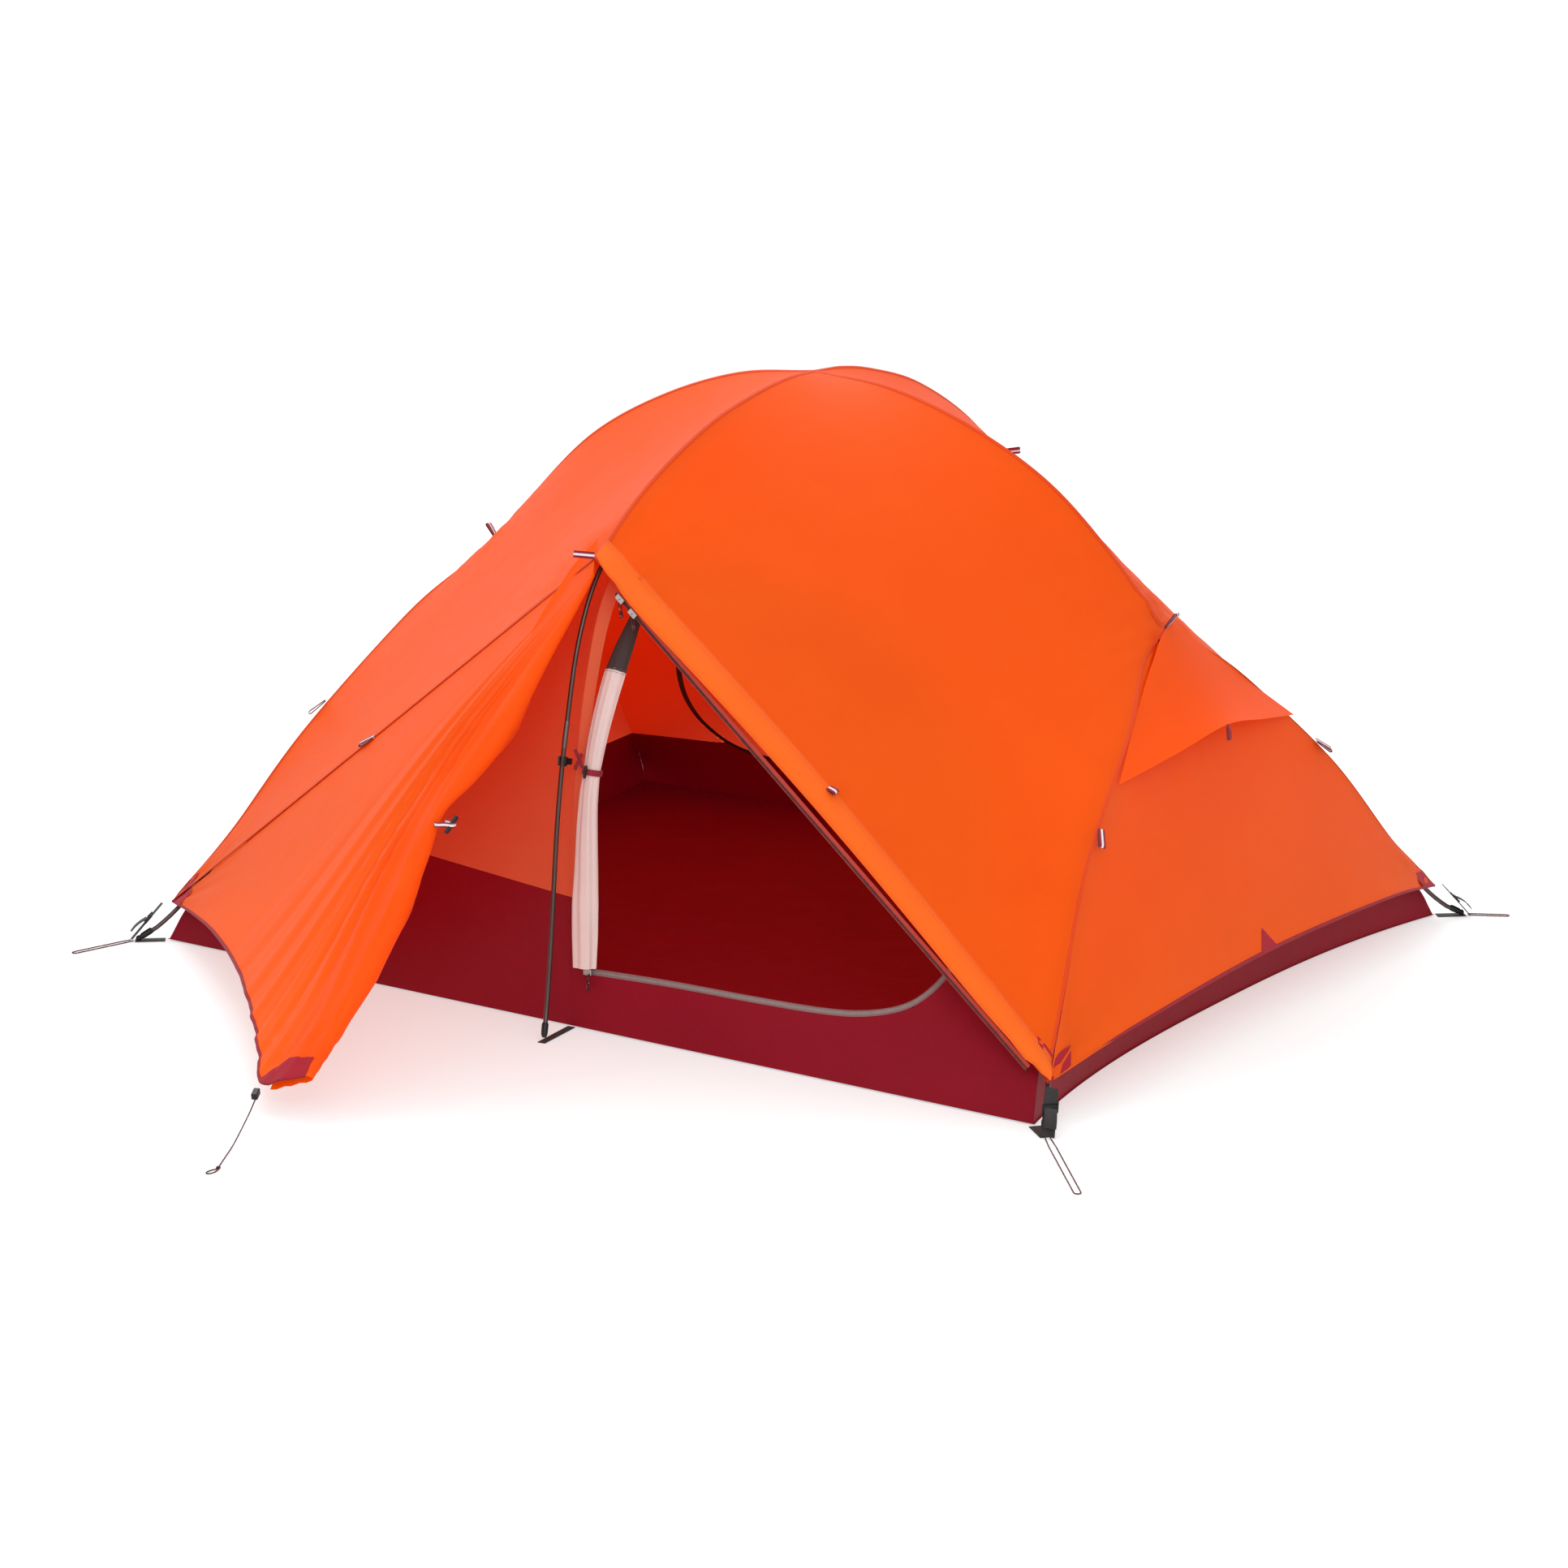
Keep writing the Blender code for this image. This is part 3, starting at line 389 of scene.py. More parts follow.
def pulled(points, anchors, height=0.0038, reach=0.36, folds=12):
    """Fine creases that fan out from the places where the cloth is pulled."""
    normals = normals_of(points)
    lift = np.zeros(points.shape[:2])
    for anchor in anchors:
        away = points - np.array(anchor)
        distance = np.linalg.norm(away, axis=2)
        middle = away.reshape(-1, 3).mean(axis=0)
        middle = middle / np.linalg.norm(middle)
        side = np.cross(middle, normals[normals.shape[0] // 2, normals.shape[1] // 2])
        angle = np.arctan2(away @ side, away @ middle)
        fade = np.clip(distance / 0.03, 0, 1) * np.exp(-((distance / reach) ** 2) * 3)
        lift += np.sin(angle * folds * 2 + 2.2 * np.sin(angle * 5 + 1)) * fade
    return points + normals * (lift * height)[..., None]


def cloth_object(name, points, material, centre=CENTRE, keep=None):
    """An open sheet through the grid, facing away from the centre, with its UV map in metres."""
    columns, rows = points.shape[:2]
    facing = normals_of(points, centre)[columns // 2, rows // 2]
    across = points[columns // 2 + 1, rows // 2] - points[columns // 2, rows // 2]
    down = points[columns // 2, rows // 2 + 1] - points[columns // 2, rows // 2]
    turn = np.dot(np.cross(across, down), facing) < 0
    width = np.r_[0, np.cumsum(np.linalg.norm(np.diff(points, axis=0), axis=2).mean(axis=1))]
    length = np.r_[0, np.cumsum(np.linalg.norm(np.diff(points, axis=1), axis=2).mean(axis=0))]
    faces = []
    for i in range(columns - 1):
        for j in range(rows - 1):
            if keep is not None and not keep[i, j]:
                continue
            a = i * rows + j
            quad = (a, a + rows, a + rows + 1, a + 1)
            faces.append(quad[::-1] if turn else quad)
    mesh = bpy.data.meshes.new(name)
    mesh.from_pydata(points.reshape(-1, 3).tolist(), [], faces)
    layer = mesh.uv_layers.new(name="UVMap")
    index = np.zeros(len(mesh.loops), np.int32)
    mesh.loops.foreach_get("vertex_index", index)
    uv = np.stack([width[index // rows], length[index % rows]], axis=1)
    layer.data.foreach_set("uv", uv.astype(np.float32).ravel())
    bm = bmesh.new()
    bm.from_mesh(mesh)
    bmesh.ops.delete(bm, geom=[v for v in bm.verts if not v.link_faces], context="VERTS")
    bm.to_mesh(mesh)
    bm.free()
    mesh.shade_smooth()
    mesh.materials.append(material)
    return placed(name, mesh)


def declare(obj, points, body, replaced, rests_on):
    """The cloth's marks: the body it rides on and the nodes of the model it replaces.

    It also measures the widest run across the cloth and its runs down, but does not use them."""
    marked(obj, body, replaced)
    width = np.linalg.norm(np.diff(points, axis=0), axis=2).sum(axis=0).max()
    runs = np.linalg.norm(np.diff(points, axis=1), axis=2).sum(axis=1)


def cloth_finish(name, colour, glow, through, roughness=0.42, grid=0.006):
    """Ripstop weave: fine threads, a raised grid of doubled threads, and slight dye variation."""
    finish = Finish(name)
    where = finish.place()
    flat = finish.place("UV")
    along, across = finish.part(flat, 0), finish.part(flat, 1)
    line_a = ((along / grid).cycle() - 0.5).size().over(0.455)
    line_b = ((across / grid).cycle() - 0.5).size().over(0.455)
    ripstop = line_a.larger(line_b)
    thread = 2 * math.pi / THREAD_PITCH
    weave = (along * thread).sine() * (across * thread).sine()
    cloud = finish.noise(where, 2.2, 4.0) - 0.5
    handled = finish.noise(where, 11.0, 5.0) - 0.5
    crumple = finish.noise(where, 26.0, 4.0)
    shade = finish.tint(colour, cloud * 0.55 + handled * 0.25 - ripstop * 0.12)
    relief = finish.bump(weave * 0.25 + ripstop * 0.8, 0.0002, 0.6)
    relief = finish.bump(crumple, 0.0026, 0.4, relief)
    gloss = handled * 0.16 + (roughness - 0.03 * ripstop)
    return finish.surface(
        shade, gloss, relief, through, glow,
        **{"Sheen Weight": 0.02, "Sheen Roughness": 0.4, "Specular IOR Level": 0.1},
    )


FLY_CLOTH = cloth_finish("fly_ripstop", (1.0, 0.108, 0.002), (1.0, 0.1, 0.002), 0.4)

fly_ridge = curve_through(
    [
        (0, 0, FLY_PEAK),
        (0.19, 0, 1.186),
        (0.39, 0, 1.121),
        (0.58, 0, 1.018),
        (0.75, 0, 0.862),
        HUB,
    ]
)
fly_arc = curve_through(
    [
        (0, 0, FLY_PEAK),
        (0, -0.1, 1.203),
        (0, -0.22, 1.185),
        (0, -0.395, 1.139),
        (0, -0.6, 1.045),
        DOOR_TOP,
    ]
)
fly_leg = curve_through(
    [
        HUB,
        (0.865, -0.13, 0.7),
        (0.915, -0.266, 0.6),
        (0.972, -0.522, 0.4),
        (1.03, -0.705, 0.2),
        FLY_CORNER,
    ]
)
fly_door_edge = curve_through([DOOR_TOP, DOOR_TOP.lerp(FLY_CORNER, 0.5), FLY_CORNER])
fly_bowed_edge = curve_through(
    [DOOR_TOP, DOOR_TOP.lerp(FLY_CORNER, 0.5) + Vector((0.011, 0, 0.013)), FLY_CORNER]
)
fly_end_hem = curve_through(
    [
        FLY_CORNER,
        (1.1, -0.55, 0.116),
        (1.1, 0, 0.133),
        (1.1, 0.55, 0.116),
        flipped(FLY_CORNER, 1, -1),
    ]
)

fly_side = taut(patch(fly_ridge, fly_door_edge, fly_arc, fly_leg), FLY_COLUMNS, FLY_ROWS)
fly_side_bowed = taut(patch(fly_ridge, fly_bowed_edge, fly_arc, fly_leg), FLY_COLUMNS, FLY_ROWS)
SIDES = (("near_right", 1, 1), ("near_left", -1, 1), ("far_right", 1, -1), ("far_left", -1, -1))
ENDS = (("right", 1), ("left", -1))
fly_panels = {}
for place, x, y in SIDES:
    base = fly_side_bowed if place == "near_right" else fly_side
    grid = pulled(base, [HUB + Vector((0.02, 0, 0.02)), FLY_CORNER, DOOR_TOP])
    grid = mirrored(grid, x, y)
    fly_panels[place] = grid
    panel = cloth_object(f"fly_panel_{place}", grid, FLY_CLOTH)
    declare(panel, grid, "fly", [f"fly_{place}"], ["ridge_pole", "cross_pole"])

END_START = 0.045
end_shoulder = fly_leg(END_START)
end_top = curve_through([end_shoulder, flipped(end_shoulder, 1, 0), flipped(end_shoulder, 1, -1)])


def side_of(curve, start, y):
    """The curve from its share start to its end, on the near (1) or the far (-1) side."""

    def at(v):
        return flipped(curve(start + (1 - start) * v), 1, y)

    return at


end_near, end_far = side_of(fly_leg, END_START, 1), side_of(fly_leg, END_START, -1)
fly_end = taut(patch(end_top, fly_end_hem, end_near, end_far), 56, 44)
for place, x in ENDS:
    pulls = [FLY_CORNER, flipped(FLY_CORNER, 1, -1), HUB + Vector((0.02, 0, 0.03))]
    grid = mirrored(pulled(fly_end, pulls), x, 1)
    panel = cloth_object(f"fly_end_panel_{place}", grid, FLY_CLOTH)
    declare(panel, grid, "fly", [f"fly_end_{place}"], ["hub_" + place])


# ---- Vent hoods ----------------------------------------------------------------------------
# A triangle of fly cloth under each hub with a stiffened lower edge. The right one is propped
# open, with its feet and its top edge on the fly.

hood_hub = Vector((0.85, 0, 0.764))
hood_tip = Vector((0.995, -0.012, 0.586))
hood_foot = Vector((0.95, -0.37, 0.528))
hood_other = flipped(hood_foot, 1, -1)
hood_bow = Vector((0.006, 0, 0.002))
hood_lower = curve_through(
    [
        hood_foot,
        hood_foot.lerp(hood_tip, 0.5) + hood_bow,
        hood_tip,
        hood_other.lerp(hood_tip, 0.5) + hood_bow,
        hood_other,
    ]
)
hood_shoulder = Vector((0.856, -0.045, 0.75))
hood_far_shoulder = flipped(hood_shoulder, 1, -1)
hood_top = curve_through([hood_shoulder, hood_hub, hood_far_shoulder])
hood_near = curve_through([hood_shoulder, (0.893, -0.19, 0.652), hood_foot])
hood_far = curve_through([hood_far_shoulder, (0.893, 0.19, 0.652), hood_other])
open_hood = taut(patch(hood_top, hood_lower, hood_near, hood_far), 40, 20, 0.8)
HOOD_LIFT = 0.0065
closed_hood = fly_end[5:52, 1:16] + normals_of(fly_end[5:52, 1:16]) * HOOD_LIFT
for place, x, grid in (("right", 1, open_hood), ("left", -1, closed_hood)):
    grid = mirrored(grid, x, 1)
    hood = cloth_object(f"vent_flap_{place}", grid, FLY_CLOTH)
    body = f"vent_{place}"
    if place == "right":
        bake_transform(hood)
    rides_on = None if place == "right" else body
    declare(hood, grid, rides_on, [f"vent_hood_{place}"], ["hub_" + place])


# ---- Near vestibule ------------------------------------------------------------------------
# The vestibule's left half stays pegged out. Its door half is rolled inwards along the free
# edge and held by a toggle half way down, so long pleats run up and down the sheet beside it.

HEM_RISE = ((0.15, 0.022), (0.35, 0.043), (0.58, 0.05), (0.8, 0.034), (0.92, 0.016))
TIED_EDGE_FOOT = Vector((-0.06, -1.59, 0.08))
TOGGLE_AT = 0.5
VESTIBULE_COLUMNS = 110


def vestibule_hem(corner, point):
    """The hem's points: it bows in and up between the corner peg and the vestibule's point."""
    line = [corner]
    for share, rise in HEM_RISE:
        inwards = -rise if corner.y > 0 else rise
        line.append(corner.lerp(point, share) + Vector((0, inwards, rise)))
    line.append(point)
    return line


near_top_left = DOOR_TOP + Vector((-0.001, 0.001, -0.001))
near_top_right = DOOR_TOP + Vector((0.012, -0.02, -0.022))
near_corner = Vector((-FLY_CORNER.x + 0.001, FLY_CORNER.y + 0.001, FLY_CORNER.z - 0.001))
seam_middle = near_top_left.lerp(near_corner, 0.5)
edge_middle = near_top_right.lerp(TIED_EDGE_FOOT, 0.5) + Vector((-0.035, 0, 0.02))
near_seam = curve_through([near_top_left, seam_middle, near_corner])
near_free_edge = curve_through([near_top_right, edge_middle, TIED_EDGE_FOOT])
near_top = curve_through([near_top_left, near_top_left.lerp(near_top_right, 0.5), near_top_right])
near_hem = curve_through(vestibule_hem(near_corner, VESTIBULE_POINT) + [TIED_EDGE_FOOT])
VESTIBULE_CENTRE = Vector((0.3, -0.4, -0.2))


def pleated(grid, start, height, folds, seed):
    """Long pleats towards the free edge, strongest at mid height and uneven in width."""
    normals = normals_of(grid, VESTIBULE_CENTRE)
    columns, rows = grid.shape[:2]
    out = grid.copy()
    for i in range(columns):
        u = i / (columns - 1)
        rise = min(1.0, max(0.0, (u - start) / (0.86 - start)))
        rise = rise * rise * (3 - 2 * rise) * (1 - 0.75 * max(0.0, (u - 0.9) / 0.1))
        for j in range(rows):
            v = j / (rows - 1)
            bend = 0.06 * math.sin(v * 3.1 + seed) + 0.05 * noise.noise((u * 3, v * 2, seed))
            phase = 2 * math.pi * folds * max(0.0, u + bend) ** 1.5
            wave = math.sin(phase) + 0.45 * math.sin(2.3 * phase + 1.3 + 2 * v)
            fade = min(1.0, v / 0.36) ** 1.7 * (1 - 0.55 * v**5)
            toggle = 1 - 0.55 * math.exp(-(((v - TOGGLE_AT) / 0.08) ** 2)) * (u > 0.8)
            uneven = 0.65 + 0.7 * noise.noise((u * 9, v * 1.5, seed + 4))
            out[i, j] = grid[i, j] + normals[i, j] * (wave * height * rise * fade * toggle * uneven)
    return out


def rolled_back(grid, radius_at, turn_steps, tuck):
    """Extra columns that roll the free edge inwards and tuck its cloth behind the sheet."""
    normals = normals_of(grid, VESTIBULE_CENTRE)[-1]
    edge = grid[-1]
    ahead = edge - grid[-4]
    ahead -= normals * np.einsum("ij,ij->i", ahead, normals)[:, None]
    ahead /= np.linalg.norm(ahead, axis=1, keepdims=True)
    rows = len(edge)
    radius = np.array([radius_at(j / (rows - 1)) for j in range(rows)])[:, None]
    centre = edge - normals * radius
    extra = []
    for k in range(1, turn_steps + 1):
        angle = math.pi * k / turn_steps
        extra.append(centre + normals * radius * math.cos(angle) + ahead * radius * math.sin(angle))
    for k in range(1, 9):
        back = tuck * k / 8
        wave = 0.25 * radius * math.sin(k * 2.1)
        extra.append(centre - normals * (radius + wave) - ahead * back)
    return np.concatenate([grid, np.array(extra)])


def roll_radius(v):
    """The rolled edge is thin at the top, pinched at the toggle and thin again at the foot."""
    pinch = math.exp(-(((v - TOGGLE_AT) / 0.07) ** 2))
    return 0.004 + 0.02 * min(1.0, v / 0.3) * (1 - 0.72 * pinch) * (1 - 0.75 * max(0, (v - 0.8) / 0.2))


near_sheet = taut(patch(near_top, near_hem, near_seam, near_free_edge), VESTIBULE_COLUMNS, 90, 0.6)
near_sheet = pulled(near_sheet, [near_corner, VESTIBULE_POINT], 0.0022, 0.35)
near_sheet = pleated(near_sheet, 0.3, 0.0088, 8.5, 1.7)
near_sheet = rolled_back(near_sheet, roll_radius, 10, 0.09)
near_unrolled = near_sheet[: VESTIBULE_COLUMNS + 1]
vestibule = cloth_object("vestibule_sheet_near", near_sheet, FLY_CLOTH, VESTIBULE_CENTRE)
declare(vestibule, near_sheet, "fly", ["vestibule_near"], ["cross_pole"])


# ---- Far vestibule -------------------------------------------------------------------------
# The same cut, zipped shut: two halves meet on the line from the door top to the point.

far_point = Vector((0, 1.6, 0.05))
far_top_middle = Vector((0, 0.777, 0.92))
far_columns = []
for x in (-1, 1):
    top_side = Vector((x * 0.002, 0.771, 0.924))
    corner = Vector((x * (FLY_CORNER.x - 0.001), -FLY_CORNER.y - 0.001, FLY_CORNER.z - 0.001))
    seam = curve_through([top_side, top_side.lerp(corner, 0.5), corner])
    crest = curve_through([far_top_middle, far_top_middle.lerp(far_point, 0.5), far_point])
    top = curve_through([top_side, top_side.lerp(far_top_middle, 0.5), far_top_middle])
    hem = curve_through(vestibule_hem(corner, far_point))
    half = taut(patch(top, hem, seam, crest), 50, 60)
    half = pulled(half, [corner, far_point], 0.002, 0.4)
    far_columns.append(half if x < 0 else half[-2::-1])
far_sheet = np.concatenate(far_columns)
far_vestibule = cloth_object("vestibule_sheet_far", far_sheet, FLY_CLOTH)
declare(far_vestibule, far_sheet, "fly", ["vestibule_far"], ["cross_pole"])


# ---- Inner tent walls ----------------------------------------------------------------------
# Breathable nylon above and a crimson coated tub below, sewn together along the tub's top edge. The
# nylon's salmon-orange colour is painted light: the fly's orange light on pale nylon. Each door side
# has a D-shaped door cut out beside the middle seam.

HALF_LENGTH, HALF_WIDTH = 1.065, 0.864
INNER_PEAK = 1.14
TUB_AT_DOOR, TUB_AT_CORNER = 0.264, 0.155
# Painted light: the canopy's salmon-orange colour and glow stand for the fly's orange light on pale nylon.
CANOPY_CLOTH = cloth_finish("canopy_nylon_painted_fly_light", (0.86, 0.2, 0.09), (1.0, 0.27, 0.13), 0.5, 0.6)
TUB_CLOTH = cloth_finish("tub_nylon", (0.23, 0.0015, 0.012), (0.3, 0.002, 0.012), 0.16, 0.4, 0.007)

inner_ridge = curve_through(
    [(0, 0, INNER_PEAK), (0.38, 0, 1.065), (0.57, 0, 0.96), (0.7, 0, 0.845), (0.775, 0, 0.73)]
)
inner_arc = curve_through(
    [
        (0, 0, INNER_PEAK),
        (0, -0.38, 1.065),
        (0, -0.6, 0.965),
        (0, -0.735, 0.86),
        (0, -0.8, 0.7),
        (0, -0.838, 0.5),
        (0, -0.857, TUB_AT_DOOR),
        (0, -HALF_WIDTH, 0.003),
    ]
)
inner_leg = curve_through(
    [
        (0.775, 0, 0.73),
        (0.85, -0.25, 0.58),
        (0.92, -0.5, 0.38),
        (0.985, -0.68, 0.2),
        (1.04, -0.81, 0.08),
        (HALF_LENGTH - 0.004, -HALF_WIDTH + 0.003, 0.003),
    ]
)


def end_edge_x(y):
    """The short floor edges are pulled in between the corners."""
    return HALF_LENGTH - 0.08 * (1 - (abs(y) / HALF_WIDTH) ** 2.6)


floor_corner = (HALF_LENGTH - 0.004, -HALF_WIDTH + 0.003, 0.003)
floor_side = curve_through([(0, -HALF_WIDTH, 0.003), (0.5, -HALF_WIDTH, 0.003), floor_corner])
floor_end = curve_through(
    [
        (end_edge_x(y) - 0.004, y * 0.9965, 0.003)
        for y in (-HALF_WIDTH, -0.75, -0.6, -0.4, -0.2, 0, 0.2, 0.4, 0.6, 0.75, HALF_WIDTH)
    ]
)
wall_points = taut(patch(inner_ridge, floor_side, inner_arc, inner_leg), 48, 48, 0.75)
wall = lookup(wall_points)

DOOR_OUTLINE = (
    (0.012, 0.112),
    (0.2, 0.112),
    (0.4, 0.108),
    (0.56, 0.109),
    (0.66, 0.118),
    (0.74, 0.142),
    (0.786, 0.184),
    (0.806, 0.238),
    (0.8, 0.31),
    (0.76, 0.405),
    (0.65, 0.56),
    (0.48, 0.7),
    (0.26, 0.81),
    (0.012, 0.868),
)
DOOR_MIDDLE = np.array((0.4, 0.45))
DOOR_STEPS = 160
door_curve = curve_through([(x, 0, z) for x, z in DOOR_OUTLINE])
door_ring = np.array(points_on(door_curve, DOOR_STEPS))[:, [0, 2]]


def wall_point(x, z, stand_off=0.0):
    """The point of the near right inner wall at this x and z, moved out by stand_off."""
    u, v = x / HALF_LENGTH, 1 - z / INNER_PEAK
    step = 1e-3
    for _ in range(14):
        p = wall(u, v)
        du = (wall(u + step, v) - p) / step
        dv = (wall(u, v + step) - p) / step
        det = du.x * dv.z - dv.x * du.z
        error_x, error_z = x - p.x, z - p.z
        u = min(0.995, max(0.0, u + (error_x * dv.z - dv.x * error_z) / det))
        v = min(0.995, max(0.0, v + (du.x * error_z - error_x * du.z) / det))
    p = wall(u, v)
    normal = (wall(u + step, v) - p).cross(wall(u, v + step) - p).normalized()
    if normal.y > 0:
        normal.negate()
    return p + normal * stand_off


def inset_ring(inset):
    """The door's outline moved in towards the door's middle, closed along its straight side."""
    inward = DOOR_MIDDLE - door_ring
    inward /= np.linalg.norm(inward, axis=1, keepdims=True)
    ring = door_ring + inward * inset
    side = np.linspace(ring[-1], ring[0], 60)[1:-1]
    return np.concatenate([ring, side])


def ring_distance(ring, x, z):
    """How far the point is outside the ring (negative inside), and the nearest ring point."""
    nxt = np.roll(ring, -1, axis=0)
    run = nxt - ring
    away = np.array((x, z)) - ring
    share = np.clip((away * run).sum(1) / (run * run).sum(1), 0, 1)
    nearest = ring + run * share[:, None]
    gaps = np.hypot(*(np.array((x, z)) - nearest).T)
    best = gaps.argmin()
    crosses = ((ring[:, 1] > z) != (nxt[:, 1] > z))
    cut = ring[:, 0] + (z - ring[:, 1]) / np.where(crosses, nxt[:, 1] - ring[:, 1], 1) * run[:, 0]
    inside = (crosses & (x < cut)).sum() % 2 == 1
    return (-gaps[best] if inside else gaps[best]), nearest[best]


def cut_by_door(grid, ring, inside):
    """Keeps the grid's cells on one side of the ring, with the cut edge moved onto it."""
    out = grid.copy()
    columns, rows = grid.shape[:2]
    far = np.zeros((columns, rows))
    for i in range(columns):
        for j in range(rows):
            x, _, z = grid[i, j]
            far[i, j], near = ring_distance(ring, x, z)
            run_u = grid[min(i + 1, columns - 1), j] - grid[max(i - 1, 0), j]
            run_v = grid[i, min(j + 1, rows - 1)] - grid[i, max(j - 1, 0)]
            reach = max(np.linalg.norm(run_u), np.linalg.norm(run_v)) / 4
            if abs(far[i, j]) < reach * 1.05:
                out[i, j] = wall_point(near[0], near[1])
                far[i, j] = 0.0
    corners = [far[:-1, :-1], far[1:, :-1], far[:-1, 1:], far[1:, 1:]]
    lows, highs = np.minimum.reduce(corners), np.maximum.reduce(corners)
    keep = (highs <= 1e-9) & (lows < -1e-9) if inside else (lows >= -1e-9) & (highs > 1e-9)
    return out, keep


def door_side_tub_height(u, start=0.42, run=0.36):
    """The tub is tallest at the door's middle seam and falls to its corner height."""
    drop = min(1.0, max(0.0, (u - start) / run))
    drop = drop * drop * (3 - 2 * drop)
    return TUB_AT_DOOR + (TUB_AT_CORNER - TUB_AT_DOOR) * drop


def split_at_height(surface, columns, rows_above, rows_below, height):
    """The surface's grid above and below a height that may change along it."""
    above, below = [], []
    for i in range(columns + 1):
        u = i / columns
        low, high = 0.0, 1.0
        for _ in range(24):
            middle = (low + high) / 2
            if surface(u, middle).z > height(u):
                low = middle
            else:
                high = middle
        above.append([surface(u, low * j / rows_above) for j in range(rows_above + 1)])
        below.append([surface(u, low + (1 - low) * j / rows_below) for j in range(rows_below + 1)])
    return np.array(above), np.array(below)


side_canopy, side_tub = split_at_height(wall, 96, 72, 24, door_side_tub_height)
near_canopy, near_tub = split_at_height(wall, 96, 72, 24, lambda u: door_side_tub_height(u, 0.72, 0.26))
door_hole = inset_ring(0.009)
whole = {"canopy": (side_canopy, None), "tub": (side_tub, None)}
cut = {}
for place, canopy, tub in (("near_right", near_canopy, near_tub), ("far_left", side_canopy, side_tub)):
    cut[place] = {
        "canopy": cut_by_door(canopy, door_hole, False),
        "tub": cut_by_door(tub, door_hole, False),
    }
for place, x, y in SIDES:
    for kind, cloth in (("canopy", CANOPY_CLOTH), ("tub", TUB_CLOTH)):
        grid, keep = cut.get(place, whole)[kind]
        grid = mirrored(grid, x, y)
        panel = cloth_object(f"inner_{kind}_{place}", grid, cloth, keep=keep)
        declare(panel, grid, "root", [f"{kind}_{place}"], ["cross_pole", "floor"])


inner_near, inner_far = side_of(inner_leg, 0.05, 1), side_of(inner_leg, 0.05, -1)
inner_end_top = curve_through([inner_near(0), inner_near(0).lerp(inner_far(0), 0.5), inner_far(0)])
end_points = taut(patch(inner_end_top, floor_end, inner_near, inner_far), 48, 40, 0.75)
end_canopy, end_tub = split_at_height(lookup(end_points), 48, 32, 10, lambda u: TUB_AT_CORNER)
for place, x in ENDS:
    for kind, grid, cloth in (("canopy", end_canopy, CANOPY_CLOTH), ("tub", end_tub, TUB_CLOTH)):
        grid = mirrored(grid, x, 1)
        panel = cloth_object(f"inner_{kind}_end_{place}", grid, cloth)
        rests = ["hub_" + place, "floor"]
        declare(panel, grid, "root", [f"{kind}_end_{place}"], rests)

# The floor: crimson coated nylon, laid on the ground with a few loose folds.
FLOOR_COLUMNS, FLOOR_ROWS = 80, 90
floor_grid = np.zeros((FLOOR_COLUMNS + 1, FLOOR_ROWS + 1, 3))
for i in range(FLOOR_COLUMNS + 1):
    for j in range(FLOOR_ROWS + 1):
        u, v = i / FLOOR_COLUMNS, j / FLOOR_ROWS
        y = -HALF_WIDTH + 2 * HALF_WIDTH * j / FLOOR_ROWS
        x = (-1 + 2 * u) * end_edge_x(y)
        ripple = noise.noise((x * 5, y * 5, 0.3)) * 0.5 + noise.noise((x * 13, y * 11, 2.3)) * 0.3
        edge = min(1.0, 8 * min(u, 1 - u, v, 1 - v))
        floor_grid[i, j] = (x, y, 0.003 + 0.005 * edge * max(0.0, ripple + 0.25))
floor_cloth = cloth_object("tent_floor", floor_grid, TUB_CLOTH, centre=Vector((0, 0, -1)))
declare(floor_cloth, floor_grid, "root", ["floor"], [])


# ---- Inner doors ---------------------------------------------------------------------------
# The far door is zipped shut. The near one is rolled and hangs beside its opening: its lower
# part is pale nylon and its upper part is dark insect mesh.

far_door_cloth = [
    [wall(0.012 + 0.8 * i / 80, 0.16 + 0.77 * j / 80) for j in range(81)] for i in range(81)
]
far_door_grid, far_door_keep = cut_by_door(np.array(far_door_cloth), inset_ring(0.013), True)
far_door_grid = mirrored(far_door_grid, -1, -1)
far_door = cloth_object("inner_door_panel_far", far_door_grid, CANOPY_CLOTH, keep=far_door_keep)
declare(far_door, far_door_grid, "root", ["inner_door_far"], ["cross_pole"])

DOOR_CLOTH = cloth_finish("door_nylon", (0.78, 0.64, 0.61), (0.9, 0.6, 0.54), 0.28, 0.6, 0.006)


def mesh_finish():
    finish = Finish("insect_mesh")
    flat = finish.place("UV")
    holes = (finish.part(flat, 0) / 0.0014).cycle() - 0.5
    rows = (finish.part(flat, 1) / 0.0014).cycle() - 0.5
    thread = holes.size().larger(rows.size()) * 2
    shade = finish.mix(thread, (0.02, 0.012, 0.012), (0.05, 0.03, 0.028))
    return finish.surface(shade, 0.8, finish.bump(thread, 0.0002), Alpha=0.93)


INSECT_MESH = mesh_finish()
roll_line = curve_through(
    [
        wall_point(0.05, 0.855, 0.018),
        wall_point(0.044, 0.68, 0.026),
        wall_point(0.034, 0.5, 0.027),
        wall_point(0.044, 0.3, 0.029),
        wall_point(0.052, 0.135, 0.029),
    ]
)
ROLL_RADII = [
    0.006, 0.012, 0.019, 0.0225, 0.0215, 0.0205, 0.0188, 0.0205, 0.0235, 0.026, 0.0285, 0.028, 0.026,
]
ROLL_TURNS = 1.25
TIE_AT = 0.5


